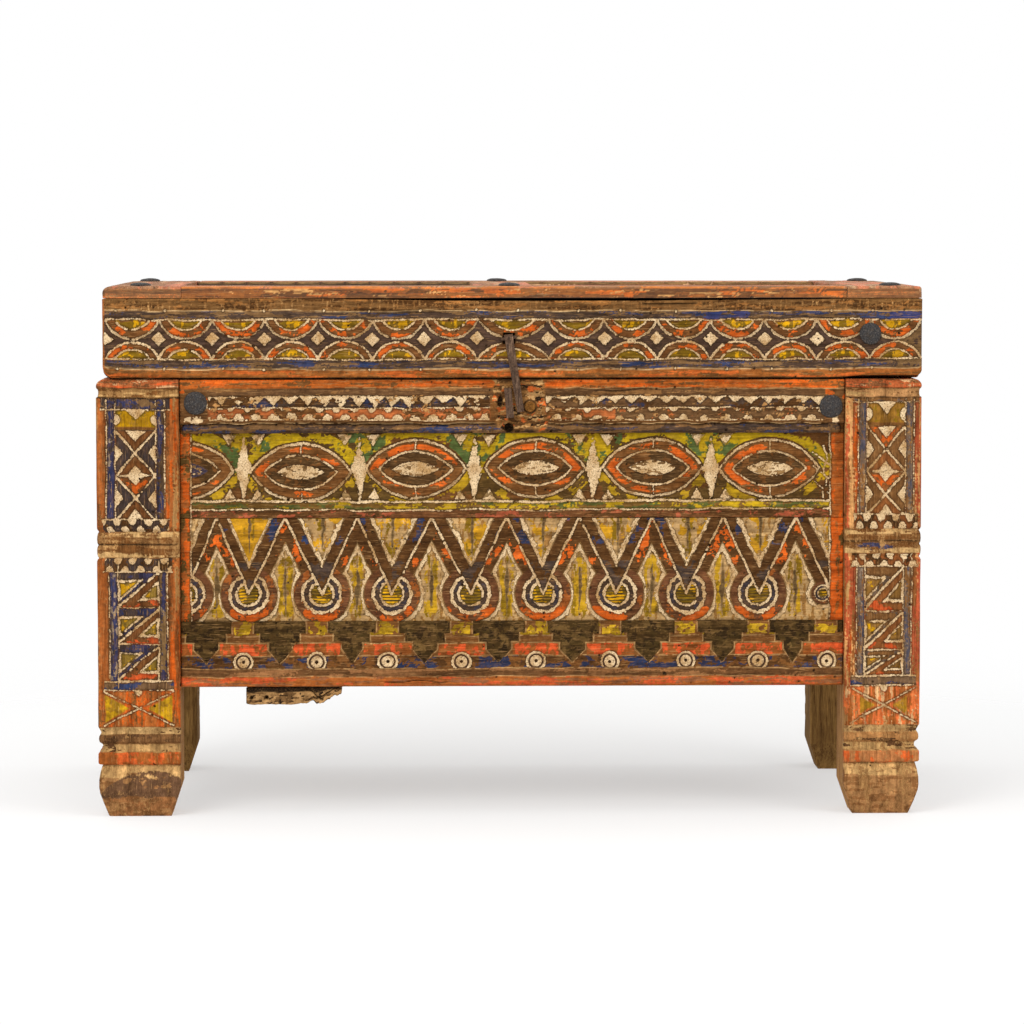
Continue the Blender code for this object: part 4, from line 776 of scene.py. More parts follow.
def carve_bottom_rail(a, q):
    """Bottom rail: a row of stepped merlons cut up against a dark ground, a ring and dot under each,
    and plain painted strips below."""
    u, v = wander(column(a), row(q), 57)
    c = Carving(u, v, 51, tint(66, 52, 25), 0.95)
    c.sink(between(v, 600, 668), 0.0026)
    c.chips(1.0, (1, 9, 4, 0.52, 0.64, tint(104, 80, 44), 0.9), (14, 5, 5, 0.6, 0.7, tint(38, 30, 15), 0.9))
    for cu, left, right in zip(SPOTS, *halfway(SPOTS, 37)):
        away = np.abs(u - cu)
        reach = np.where(u < cu, cu - left, right - cu)
        half = np.where(v < 633.5, 11.5, np.where(v < 642.5, 17.5, 25.5))
        slope = 25.5 + (reach - 25.5) * np.clip((v - 650) / 13.0, 0, 1)
        edge = away - np.where(v > 650, np.maximum(half, slope), half)
        near = away < reach + 0.6
        body = inside(edge, 0.6) * near
        c.raise_up(body)
        c.paint(body, BROWN, 0.95)
        c.chips(body * between(v, 625, 634.5) * inside(away - 8.5), (12, 7, 6, 0.36, 0.5, tint(192, 152, 32), 0.93))
        c.chips(body * between(v, 600, 635.5), (2, 7, 6, 0.58, 0.66, OLIVE, 0.9))
        c.dress(body * between(v, 644, 655.5) * inside(away - 23.5), RUST * 0.75, 0.93,
                (3, 4, 6, 0.46, 0.6, tint(206, 82, 40), 0.9))
        c.chips(body * between(v, 656.5, 668.5), (4, 12, 6, 0.5, 0.62, ULTRAMARINE * 0.75, 0.9),
                (5, 9, 5, 0.56, 0.64, DARK_BROWN, 0.9))
        edge_line = inside(only(near & (v < 664), np.abs(edge + 0.9)) - 0.35, 0.5)
        for level, reach_u in ((636.2, 17.5), (643.2, 25.5), (656.0, 28.0)):
            edge_line = np.maximum(edge_line, inside(only(away < reach_u, np.abs(v - level)) - 0.3, 0.5))
        c.paint(edge_line * c.patches(13, 4, 4, 0.20, 0.4), tint(208, 168, 114), 1.0)
        c.depth = c.depth + 0.0004 * edge_line
    for cu in SPOTS:
        spread = np.hypot(u - cu, v - 662.0)
        c.raise_up(inside(spread - 10.5))
        c.limed(spread - 10.0)
        # The centre dot is a sunk hole, painted black as the shade inside it.
        for cut, colour, deep in ((np.abs(spread - 6.6) - 0.9, tint(60, 46, 40), 0.0010), (spread - 1.7, SHADE_AND_DIRT_BLACK, 0.0012)):
            c.paint(inside(cut), colour, 0.9)
            c.sink(inside(cut), deep)
    c.depth = np.where(v > 668.5, 0.0003, c.depth)
    c.dress(between(v, 669.5, 677), tint(102, 68, 40), 0.92, (6, 24, 5, 0.5, 0.6, tint(146, 100, 62), 0.8))
    c.dress(between(v, 677, 720), RUST, 0.9, (7, 26, 4, 0.54, 0.68, tint(196, 84, 44), 0.9),
            (16, 20, 2, 0.58, 0.7, tint(140, 86, 54), 0.9))
    for at, wide in ((669.2, 1.4), (677.3, 1.1)):
        c.hairline(v - at - (smooth_noise(u / 34.0, u * 0, 53) - 0.5) * 1.4, wide)
    age(c, 0.3)
    c.holes(50, 54)
    c.crack(380, 450, 682, 55, 0.4)
    c.pit(665, 675, 2.0, 0.001)
    c.tooling(0.0005, 56, 26, 6)
    return c


def scallops(c, top, bottom, inner, ground, pitch, risen, hung):
    """Strip with cream half discs hanging from its top line and others rising from its bottom line
    between them."""
    strip = between(c.v, top, bottom) * inner
    c.dress(strip, ground, 0.93, (60, 9, 9, 0.5, 0.62, DARK_BROWN, 0.93))
    c.sink(strip, 0.0010)
    for base, at in ((top, hung), (bottom, risen)):
        place = ((c.u - at) / pitch + 0.5) % 1.0 - 0.5
        c.stand(np.hypot(place * pitch, (c.v - base) * 0.66) - 4.1, strip)


# How many rows the right post's pattern slips from the left post's, row by row.
RIGHT_ROWS = (398.0, 402.0, 421.0, 450.0, 494.0, 514.0, 529.0, 552.0, 567.0, 677.0, 686.5, 726.0)
RIGHT_SLIP = (0.0, 7.4, 4.0, 2.5, 3.1, 4.0, 2.0, 3.0, 4.0, 3.4, 2.4, 0.0)
HALF = 19.5  # half the width of a post's panel
HEARTS = (452.5, 497.5)  # rows of the two crosses' middles


def carve_post(u, v, centre, half, bare, seed):
    """Front of a post: moulded cap, a panel of two crosses with a diamond between, a bead between two
    scalloped strips, a panel of three Z units, and a crossed box over the foot's mouldings. The panel's
    own column x runs from -19.5 to 19.5; bare tells how much paint is gone, and is 0 on the left post.
    A choice of (left, right) gives what differs between the two posts."""
    raw = bare > 0

    def pick(left, right):
        """What belongs to this post, of the two."""
        return right if raw else left

    u, v = wander(u, v, seed + 8, 1.2)
    v = v + raw * np.interp(v, RIGHT_ROWS, RIGHT_SLIP)
    c = Carving(u, v, seed, WOOD, 0.0)
    x = (u - centre - pick(2.0, -1.2) * step(v, 528, 560)) / half * HALF
    wide = np.abs(x)
    blue = pick(tint(40, 50, 84), tint(104, 88, 76))
    slate = pick(tint(58, 52, 54), tint(126, 86, 48))
    brown = pick(tint(114, 68, 34), tint(142, 84, 42))
    edge = pick(tint(160, 88, 40), tint(186, 86, 52))
    # shaft and the strips beside the panels
    shaft = between(v, 398, 727)
    c.dress(shaft, brown * 1.1, 0.85, (1, 5, 46, 0.40, 0.52, edge * 0.8, 0.85))
    c.chips(shaft * inside(33.5 - wide, 1.0), (2, 5, 60, 0.36, 0.5, edge, 0.85))
    c.chips(shaft * inside(29.0 - pick(x, -x), 1.0),
            (3, 4, 40, 0.58 + 0.06 * raw, 0.68 + 0.06 * raw, ORANGE * 0.75, 0.8))
    pale = 0.46 + 0.26 * step(x, -5, 5) + 0.14 * step(v, 535, 550)
    c.flakes(raw * shaft * inside(29.5 - wide, 1.0) * step(c.patches(27, 3, 60, 0.2, 0.9), pale, pale + 0.12),
             tint(216, 158, 98), 0.8)
    strips = between(wide, 20.4, 28.0) * between(v, 398.5, 680)
    c.dress(strips, blue, 0.93, (4, 4, 40, 0.54, 0.66, slate, 0.85), (23, 2, 7, 0.66, 0.78, tint(140, 124, 108), 0.6))
    c.chips(raw * strips, (5, 5, 26, 0.62, 0.72, tint(72, 72, 84), 0.8))
    rubbed = (not raw) * strips * step(x, 0, 1)
    c.chips(rubbed * inside(v - 540), (35, 4, 18, 0.48, 0.60, tint(70, 55, 42), 0.85))
    c.chips(rubbed * inside(540 - v), (35, 4, 18, 0.45, 0.57, tint(126, 98, 64), 0.85))
    head = between(wide, 0, 34) * between(v, 398.5, 409.0)
    c.dress(head, slate, 0.93, (28, 10, 6, 0.54, 0.66, blue, 0.9))
    c.chips((not raw) * head, (36, 12, 5, 0.54, 0.66, tint(116, 88, 58), 0.9))
    # upper panel: two crosses
    panel = inside(wide - HALF) * between(v, 409.8, 518.2)
    c.paint(panel, slate, 0.95)
    c.sink(panel, 0.0009)
    top = panel * inside(v - 429.5)
    c.dress(top, pick(OCHRE * 0.62, tint(150, 106, 36)), 0.95, (6, 7, 5, 0.58, 0.66, OLIVE * 0.8, 0.9))
    c.paint(top * inside(np.abs(v - 428.6) - 1.8), BROWN, 0.9)
    creams = [wedge(x, v, (0, 420), 409, 10.5), np.hypot(wide - 20.0, v - 419.5) - 5.6,
              wedge(x, v, (0, 441), 430.5, 10.5)]
    for heart in HEARTS:
        up = (heart - v) * HALF / 22.0
        in_top = inside((wide - up) * 0.75 + 1.2)
        in_low = inside((wide + up) * 0.75 + 1.2)
        middle = panel * between(v, heart - 22, heart + 22, 0.3) * np.maximum(in_top, in_low)
        c.paint(middle, brown, 0.95)
        c.chips(middle * in_top * between(v, 478, 493), (7, 8, 7, 0.48, 0.6, ORANGE, 0.9))
        c.chips(raw * middle * in_top * (v < 452), (29, 8, 7, 0.5, 0.6, ORANGE, 0.9))
        creams.append((np.abs(v - heart) * 0.75 + (12.2 - wide)) * 0.75)
    level = np.abs(v - 474.5)
    ears = np.maximum(level - 1.7 * np.clip((19.0 - wide) / 11.0, 0, 1), wide - 19.0)
    creams += [(wide / 9.0 + level / 10.4 - 1) * 6.2, ears, wedge(x, v, (0, 507.5), 518.8, 8.2)]
    for shape in creams:
        c.stand(shape, panel)
    for heart in HEARTS:
        for way in (-1, 1):
            c.line(segment(x, v, (-HALF, heart - 22 * way), (HALF, heart + 22 * way)), 2.1, 0.0008)
    # lower panel: three Z units
    low = inside(wide - HALF) * between(v, 571.6, 680)
    c.paint(low, slate, 0.95)
    c.sink(low, 0.0009)
    starts = pick((571.0, 607.3, 643.6, 680.0), (571.0, 616.2, 655.0, 680.4))
    for start, finish in zip(starts[:-1], starts[1:]):
        unit = low * between(v, start, finish)
        down = (v - start) * 36.3 / (finish - start)
        past = step((x + HALF) * 33 / 39 + down - 34.5, -0.5, 0.5)
        c.paint(unit * past, brown, 0.95)
        c.chips(unit * past * between(down, 27, 36), (8, 9, 7, 0.5, 0.6, tint(206, 84, 38), 0.92))
        c.chips(unit * (1 - past), (9, 12, 9, 0.5, 0.6, blue, 0.9))
        left_cell = np.maximum(np.maximum(9 - down, -HALF - x), (x + HALF) * 20 / 22.5 + (down - 28)) * 0.75
        right_cell = np.maximum(np.maximum(down - 27.5, x - HALF), -((x - 1) * 18 / 18.5 + (down - 28))) * 0.75
        for cell in (left_cell, right_cell):
            c.paint(unit * inside(cell), pick(tint(138, 112, 42), tint(142, 102, 46)), 0.95)
            c.chips(unit * inside(cell + 1.5), (10, 7, 7, 0.44 + 0.16 * raw, 0.54 + 0.16 * raw, OCHRE * 0.85, 0.9))
            c.line(only(unit > 0.3, cell), 1.8, 0.0007)
        c.line(only(unit > 0.3, segment(x, down, (HALF, 1), (-HALF, 34))), 2.3, 0.0009)
        c.line(only(wide < HALF, v - finish + 0.3), 1.7, 0.0008)
    # bead between two scalloped strips
    inner = inside(wide - 33.0)
    ground = pick(slate, tint(148, 84, 42))
    pitch = pick(15.4, 14.3)
    scallops(c, 518.8, 531.0, inner, ground, pitch, *pick((141.0, 133.2), (889.6, 882.5)))
    scallops(c, 557.0, 570.6, inner, ground, pitch, *pick((140.7, 132.8), (885.4, 892.6)))
    bead = between(v, 531.2, 557.0)
    c.dress(bead, tint(140, 98, 58), 0.45, (11, 26, 3, 0.45, 0.56, BROWN, 0.7))
    c.chips(bead * (inside(np.abs(v - 534) - 2.6) + inside(np.abs(v - 553.8) - 2.6)),
            (12, 22, 4, 0.36, 0.52, tint(208, 168, 112), 0.7))
    # Painted shade in the groove between the bead's two rounds.
    c.paint(inside(np.abs(v - 543.6) - 0.8), SHADE_AND_DIRT_BLACK, 0.7)
    splash = inside(np.hypot((u - 878) / 19.0, (v - 549.5) / 4.2) * 6 - 6, 2.0)
    c.chips(raw * splash, (31, 16, 3, 0.24, 0.42, tint(58, 62, 92), 0.8))
    # crossed box
    c.dress(inside(wide - 34) * between(v, 681, 688.6), pick(tint(108, 82, 58), tint(120, 94, 70)), 0.9,
            (13, 14, 6, 0.54, 0.64, ULTRAMARINE, 0.85))
    box = between(v, 689.4, 726.0)
    c.dress(box, RUST, 0.85,
            (14, 3, 22, pick(0.52, 0.44), pick(0.62, 0.54), pick(ORANGE * 0.9, tint(220, 112, 58)), 0.85),
            (15, 3, 24, 0.62, 0.7, pick(BROWN, tint(226, 176, 124)), 0.8))
    sides = inside((np.abs(v - 707.5) - (wide - 7) * 17.5 / 30.0) * 0.8 + 1.0) * inside(wide - 33 + 9 * raw)
    c.dress(box * sides, pick(tint(200, 154, 22), tint(196, 142, 40)), 0.92,
            (16, 6, 6, 0.54, 0.62, tint(160, 120, 30), 0.9))
    for way in (-1, 1):
        c.line(segment(x, v, (-34, 707.5 - 17 * way), (34, 707.5 + 17 * way)), 1.4, 0.0009, 0.3)
    c.limed(np.hypot(x, (v - 689.4) * 0.66) - 3.8, box)
    for at in (409.4, 518.6, 570.8, 680.4, 688.9):
        c.line(only(wide < 34.5, v - at), 1.2, 0.0006, 0.5)
    for at in (20.0, 28.6):
        for first, last in ((398.5, 518.6), (557, 680.4)):
            c.line(only((v > first) & (v < last), wide - at), 1.0, 0.0006, 0.6)
    c.hairline(only((v > 681) & (v < 725) & (not raw), wide - 20.0), 1.2)
    # cap
    c.paint(inside(v - 398.0), RUST, 0.85)
    c.dress(inside(v - 388.5), pick(tint(176, 96, 54), tint(182, 92, 50)), 0.8,
            (17, 24, 4, 0.5, 0.64, pick(tint(208, 88, 42), tint(204, 86, 42)), 0.85),
            (30, 24, 3, 0.6, 0.72, tint(216, 168, 122), 0.7), (34, 20, 2, 0.62, 0.74, tint(120, 72, 42), 0.7))
    c.dress(between(v, 388.6, 397.6), pick(tint(168, 126, 76), tint(190, 140, 90)), 0.45 + 0.3 * raw,
            (18, 22, 3, 0.5 + 0.1 * raw, 0.62 + 0.1 * raw, BROWN, 0.6))
    c.chips(between(v, 392.5, 397.0), (32, 26, 3, 0.42, 0.56, tint(206, 164, 106), 0.6))
    c.paint(inside(np.abs(v - 388.4) - 0.6), DARK_BROWN, 0.8)
    # Painted shadow in the step under the cap.
    c.paint(inside(np.abs(v - 398.0) - 0.9), SHADE_AND_DIRT_BLACK, 0.85)
    # foot
    c.paint(between(v, 726.6, 733.8), tint(200, 162, 108), 0.7)
    c.paint(between(v, 733.8, 743.8), pick(tint(118, 82, 50), tint(176, 124, 74)), 0.8)
    c.paint(between(v, 743.8, 752.0), tint(200, 160, 104), 0.7)
    c.chips(between(v, 726.6, 752.0), (24, 18, 3, 0.6, 0.72, tint(88, 60, 38), 0.7))
    c.paint(between(v, 752.0, 764.6), RUST * (1 - bare) + tint(200, 136, 86) * bare, 0.88)
    c.chips(between(v, 752.0, 764.6) * (1 - 0.6 * bare), (19, 5, 9, 0.48, 0.6, tint(210, 96, 44), 0.9))
    toe = inside(764.6 - v)
    c.dress(toe, tint(174, 126, 80), 0.6, (20, 22, 3, 0.5, 0.64, tint(136, 92, 54), 0.7))
    c.chips(toe * inside(v - 778, 4), (25, 22, 6, 0.36, 0.5, tint(202, 160, 104), 0.7))
    stain = inside(770 + 0.0085 * (u - 150) ** 2 - v, 3) * inside(v - 799, 8)
    c.chips(stain * (not raw), (21, 18, 6, 0.24, 0.44, tint(104, 75, 54), 0.8))
    c.chips(inside(797 - v) * (1 - bare), (26, 14, 4, 0.46, 0.6, tint(150, 100, 60), 0.7))
    c.chips(inside(36.5 - wide, 1.5) * shaft, (22, 6, 40, 0.62, 0.74, tint(176, 126, 72), 0.4))
    age(c, 0.3, 6.0, 26.0)
    c.cover = c.cover * (1 - 0.4 * bare * c.patches(33, 5, 22, 0.46, 0.62))
    c.holes(40, seed + 3)
    c.tooling(0.0005, seed + 4, 8, 40)
    return c


# Height, and how far the outer faces are drawn in there, both in millimetres.
POST_PROFILE = np.array((
    (0.0, 12.0), (3.0, 10.6), (18.0, 5.0), (30.0, 1.2), (36.5, 0.3), (46.0, 0.6), (55.0, 2.2), (61.0, 4.0),
    (64.0, 5.0), (64.6, 1.4), (65.6, 0.3), (67.0, 0.0), (77.0, 0.0), (78.6, 0.4), (79.4, 1.6), (79.9, 5.0),
    (83.0, 5.7), (87.0, 5.6), (89.6, 4.6), (90.6, 2.6), (92.4, 1.2), (95.6, 0.7), (99.0, 1.2), (101.4, 2.6),
    (103.0, 3.6), (104.2, 3.2), (107.6, 1.6), (110.8, 0.0), (312.0, 0.0), (314.4, 1.0), (316.0, 2.6),
    (317.6, 1.2), (320.5, 0.4), (325.0, 0.1), (329.0, 0.5), (331.6, 1.9), (334.0, 0.5), (338.5, 0.1),
    (343.0, 0.4), (346.2, 1.2), (348.0, 2.6), (349.6, 1.0), (352.0, 0.0), (510.4, 0.0), (511.0, 1.9),
    (515.0, 2.7), (518.6, 2.4), (520.6, 1.6), (521.2, 0.5), (522.6, 0.1), (524.4, 0.0), (526.4, 0.4),
    (528.4, 1.6), (530.0, 3.2), (531.2, 5.2), (532.0, 8.0))) * 0.001
POST_TOP = 0.532
TOE_IN, TOE_TOP = 0.012, 0.0365
ROUND_OUT, ROUND_IN, ROUND_POINTS = 0.004, 0.0025, 6


def post(name, x_out, x_in, y_out, y_in, carve, cell, side_cell):
    """Corner post: a ring of front face, rounded arrises and sides is carried up the post; the profile
    table draws the two outer faces in, and the toe is drawn in on all four sides."""
    count = int(round(POST_TOP / cell)) + 1
    z = np.linspace(0, POST_TOP, count)
    inset = np.interp(z, POST_PROFILE[:, 0], POST_PROFILE[:, 1])[:, None]
    toe = (TOE_IN * np.clip(1 - z / TOE_TOP, 0, 1))[:, None]
    way_x = 1.0 if x_in > x_out else -1.0
    way_y = 1.0 if y_in > y_out else -1.0
    wide, deep = abs(x_in - x_out), abs(y_in - y_out)
    turn = np.linspace(0, math.pi / 2, ROUND_POINTS)
    flat = np.linspace(ROUND_OUT, wide - ROUND_IN, int((wide - ROUND_OUT - ROUND_IN) / cell) + 1)[1:-1]
    side = np.linspace(deep - 0.001, ROUND_OUT, int((deep - ROUND_OUT) / side_cell) + 1)[:-1]
    back = np.linspace(wide, 0, 4)[1:-1]
    inner = np.linspace(ROUND_IN, deep, 6)[1:]
    arc_out = ROUND_OUT * (1 - math.pi / 2) + ROUND_OUT * turn
    # each stretch of the ring: place across and deep, outward normal, and length run along the ring
    px, py, nx, ny, run = np.concatenate([
        [side * 0, side, side * 0 - 1, side * 0, arc_out[0] + ROUND_OUT - side],
        [ROUND_OUT * (1 - np.cos(turn)), ROUND_OUT * (1 - np.sin(turn)), -np.cos(turn), -np.sin(turn), arc_out],
        [flat, flat * 0, flat * 0, flat * 0 - 1, flat],
        [wide - ROUND_IN * (1 - np.sin(turn)), ROUND_IN * (1 - np.cos(turn)), np.sin(turn), -np.cos(turn),
         wide - ROUND_IN + ROUND_IN * turn],
        [inner * 0 + wide, inner, inner * 0 + 1, inner * 0, wide + inner],
        [back, back * 0 + deep, back * 0, back * 0 + 1, wide + deep + back * 0]], 1)
    facing = np.arange(len(px)) < len(px) - len(inner) - len(back)
    grid_x, grid_z = np.meshgrid(x_out + way_x * run, z)
    c = carve(grid_x, grid_z)
    relief = np.clip(c.depth, 0, 0.02) * facing
    share_x, share_y = px / wide, py / deep
    points = np.empty(grid_x.shape + (3,))
    points[..., 0] = x_out + way_x * (px + (inset * (1 - share_x) - toe * share_x) - nx * relief)
    points[..., 1] = y_out + way_y * (py + (inset * (1 - share_y) - toe * share_y) - ny * relief)
    points[..., 2] = z[:, None]
    coat = c.coat()
    coat[..., COVERS] *= (0.25 + 0.75 * facing)[:, None]
    return tube_mesh(name, points, coat)


# ---- carvings of the other boards, in columns and rows of their own faces ----

def plain_carving(seed, colour=None, cover=0.0):
    """Carving of an uncarved board: adze marks, cracks and worm holes, with a worn coat if it has one."""
    def carve(a, q):
        """Patches of the coat, then two cracks of random place and length, then holes and adze marks."""
        u, v = a / COLUMN, q / ROW
        c = Carving(u, v, seed)
        if colour is not None:
            c.chips(1.0, (1, 150, 20, 0.4, 0.64, colour, cover))
        chance = np.random.default_rng(seed)
        for k in range(2):
            start = chance.uniform(u.min(), u.max() - 60)
            c.crack(start, start + chance.uniform(60, 200), chance.uniform(v.min() + 8, v.max() - 8), seed + 5 + k)
        c.holes(14, seed + 1)
        c.tooling(0.0009, seed + 2, 60, 7)
        return c
    return carve


def back_post_carving(seed):
    """Plain post: adze marks up the grain under a thin brown coat."""
    def carve(x, z):
        """Patches of the coat and adze marks, both drawn out along the post."""
        c = Carving(x / COLUMN, z / ROW, seed)
        c.chips(1.0, (1, 8, 50, 0.5, 0.66, tint(104, 74, 42), 0.6))
        c.tooling(0.0008, seed + 1, 8, 50)
        return c
    return carve


def lid_top_carving(seed, edge, worn, gap=False):
    """Top of the lid: a thin coat of orange rubbed through along the grain, stronger on the front edge,
    which lies beyond the given face coordinate; the gap below that edge gets painted shadow if there is one."""
    def carve(a, q):
        """Patches of orange and of bare wood drawn out along the board, then the front edge and the painted shadow in
        its gap.
        """
        c = Carving(a / COLUMN, q / ROW, seed)
        c.chips(1.0, (1, 150, 17, worn, worn + 0.26, tint(196, 116, 78), 0.62),
                (2, 90, 9, 0.60, 0.76, tint(190, 148, 108), 0.55))
        front = step(edge - q, 0.0, 0.004)
        c.paint(front, tint(138, 80, 28), 0.85)
        c.chips(front * step(a, -0.42, -0.18), (3, 46, 4, 0.52, 0.64, tint(196, 98, 26), 0.85))
        c.chips(front, (4, 30, 3, 0.54, 0.66, tint(98, 57, 18), 0.8), (5, 26, 3, 0.7, 0.8, tint(200, 146, 84), 0.7))
        c.chips(gap * between(q, -0.2468, -0.2405, 0.0006), (6, 40, 9, 0.28, 0.46, tint(196, 114, 44), 0.8))
        # Painted shadow in the gap below the front edge, where the lid's front has warped away.
        c.paint(gap * front * step(-0.2566 - q, 0, 0.0006) * between(a, *LID_GAP), SHADE_AND_DIRT_BLACK, 1.0)
        c.holes(24, seed + 1)
        c.tooling(0.0008, seed + 2, 90, 9)
        return c
    return carve


def back_rail_carving(a, q):
    """Lid's back rail: as the rest of the top, with hollows gouged side by side out of its front arris;
    the hollows and the rail's inner face get painted shade, less so towards the right."""
    c = lid_top_carving(174, 0.0, 0.4)(a, q)
    hollow = np.sqrt(np.clip(1 - (2 * (((a + 0.3962) / 0.032) % 1.0) - 1) ** 2, 0, 1))
    cut = np.clip(1 - (q - 0.151) / (0.001 + 0.007 * hollow), 0, 1) * step(q, 0.148, 0.151)
    c.depth = c.depth + 0.0034 * cut * hollow
    # Painted shade in the gouged hollows and on the rail's inner face, the wall of the lid's recess.
    dark = np.maximum(step(cut * hollow, 0.02, 0.2), step(0.1518 - q, 0, 0.0008))
    c.paint(dark * (1 - 0.6 * step(a, -0.05, 0.05)), tint(74, 50, 24), 0.95)
    c.paint(step(cut * hollow, 0.25, 0.5), tint(150, 116, 62), 0.9)
    return c


def plank_carving(a, q):
    """Plank's sawn front end: rough end grain with painted shadow along its top under the floor, and old nail holes and
    splits.
    """
    u, v = column(a), row(q)
    c = Carving(u, v, 193, tint(176, 136, 88), 0.7)
    c.chips(1.0, (1, 12, 3, 0.46, 0.6, tint(112, 82, 50), 0.8), (2, 5, 2, 0.64, 0.74, SHADE_AND_DIRT_BLACK, 0.9))
    # Painted shadow along the plank's top, under the floor.
    c.paint(inside(v - 692.2 - 2 * smooth_noise(u / 9.0, u * 0, 194)), SHADE_AND_DIRT_BLACK, 0.95)
    c.pit(250.5, 698.5, 1.6, 0.006)
    c.pit(265.5, 698.0, 1.8, 0.006)
    for start, end in (((305, 690), (322, 702)), ((312, 701), (338, 693))):
        c.bore(inside(segment(u, v, start, end) - 0.7), 0.003, 0.95)
    c.tooling(0.0016, 195, 6, 5)
    return c


DOME_SIDES, DOME_RINGS = 44, 14


def dome(name, foot, outward, radius, high, seed):
    """Forged nail head: a half-round profile turned about its axis, beaten uneven by low noise."""
    turn = np.linspace(0, 2 * math.pi, DOME_SIDES, endpoint=False)[None, :]
    t = np.concatenate([np.linspace(0.04, 1, DOME_RINGS), [1.0]])[:, None] * math.pi / 2
    level = np.ones((DOME_RINGS + 1, 1))
    level[-1] = 0.0
    beat = smooth_noise(2.2 + 2 * np.cos(turn) * np.sin(t), 2.2 + 2 * np.sin(turn) * np.sin(t), seed) - 0.5
    reach = radius * np.sin(t) * (1 - 0.05 * smooth_noise(turn * 1.3, turn * 0, seed + 1))
    reach = reach * (0.97 + 0.03 * level)
    lift = high * (np.cos(t) ** 0.8 * (0.96 + 0.12 * beat) * 0.92 + 0.03) * level
    east, north = reach * np.cos(turn), reach * np.sin(turn)
    parts = (east, north, lift) if outward == "+z" else (east, -lift, north)
    points = np.stack([start + part for start, part in zip(foot, parts)], -1)
    return tube_mesh(name, points, np.zeros(reach.shape + (10,)))


# ---- materials ----

class Nodes:
    """A node tree with short words for adding to it: each gives back the output of the node it adds."""

    def __init__(self, tree):
        self.tree = tree

    def feed(self, socket, value):
        """Link a socket from another, or set it to a constant; three values are a colour or a vector."""
        if isinstance(value, bpy.types.NodeSocket):
            self.tree.links.new(value, socket)
        elif socket.type == "RGBA" and len(value) == 3:
            socket.default_value = (*value, 1.0)
        else:
            socket.default_value = value

    def add(self, kind, settings=None, **links):
        """Add a node, set its options and feed its sockets, named or numbered (i0, i1)."""
        node = self.tree.nodes.new("ShaderNode" + kind)
        for key, value in (settings or {}).items():
            setattr(node, key, value)
        for key, value in links.items():
            self.feed(node.inputs[int(key[1:]) if key[1:].isdigit() else key.replace("_", " ")], value)
        return node

    def use(self, group, **links):
        """Add a shared group and feed it."""
        return self.add("Group", {"node_tree": group}, **links).outputs

    def noise(self, vector, scale, detail=6.0, rough=0.6, warp=0.0):
        """Noise value on a vector."""
        return self.add("TexNoise", None, Vector=vector, Scale=scale, Detail=detail, Roughness=rough,
                        Distortion=warp).outputs["Fac"]

    def reckon(self, kind, first, second):
        """Two-value arithmetic."""
        return self.add("Math", {"operation": kind}, i0=first, i1=second).outputs[0]

    def times(self, first, second):
        """Product of two values."""
        return self.reckon("MULTIPLY", first, second)

    def plus(self, first, second):
        """Sum of two values."""
        return self.reckon("ADD", first, second)

    def minus(self, first, second):
        """Difference of two values."""
        return self.reckon("SUBTRACT", first, second)

    def remap(self, value, low, high, to_low=0.0, to_high=1.0, kind="LINEAR"):
        """Clamped change of range."""
        return self.add("MapRange", {"clamp": True, "interpolation_type": kind}, Value=value, From_Min=low,
                        From_Max=high, To_Min=to_low, To_Max=to_high).outputs[0]

    def blend(self, factor, first, second, kind="MIX"):
        """Mix of two colours."""
        return self.add("Mix", {"data_type": "RGBA", "blend_type": kind}, i0=factor, i6=first, i7=second).outputs[2]

    def shaded(self, colour, value, low, high, dark, light):
        """A colour times one that goes from dark to light as a value goes from low to high."""
        return self.blend(1.0, colour, self.blend(self.remap(value, low, high), dark, light), "MULTIPLY")


def shader_group(name, inputs, outputs):
    """Empty shader node group with sockets listed as name:Kind; gives its nodes, inputs, and outputs to feed."""
    tree = bpy.data.node_groups.new(name, "ShaderNodeTree")
    for way, sockets in (("INPUT", inputs), ("OUTPUT", outputs)):
        for socket in sockets.split():
            label, kind = socket.split(":")
            tree.interface.new_socket(label, in_out=way, socket_type="NodeSocket" + kind)
    return Nodes(tree), tree.nodes.new("NodeGroupInput").outputs, tree.nodes.new("NodeGroupOutput").inputs


def make_grain_group():
    """Aged wood: long fibres from stretched noise, dark pores, and broad stains."""
    n, given, out = shader_group("aged_grain", "Grain:Vector Place:Vector Light:Color Dark:Color",
                                 "Colour:Color Height:Float")
    broad = n.noise(given["Grain"], 1.0, 5.0, 0.55, 0.6)
    fibre = n.noise(given["Grain"], 5.5, 6.0, 0.65, 0.2)
    hairs = n.noise(given["Grain"], 13.0, 5.0, 0.7, 0.1)
    stain = n.noise(given["Place"], 9.0, 4.0, 0.6)
    tone = n.plus(n.times(broad, 0.6), n.times(fibre, 0.4))
    sharp = n.plus(tone, n.times(n.minus(hairs, 0.5), 0.5))
    colour = n.blend(n.remap(sharp, 0.38, 0.62), given["Dark"], given["Light"])
    pores = n.remap(fibre, 0.36, 0.44, 0.55, 1.0)
    colour = n.blend(1.0, colour, n.blend(pores, (0.25, 0.2, 0.16), (1, 1, 1)), "MULTIPLY")
    colour = n.shaded(colour, stain, 0.35, 0.65, (0.68, 0.64, 0.6), (1.06, 1.05, 1.02))
    n.feed(out["Colour"], colour)
    n.feed(out["Height"], tone)
    return n.tree


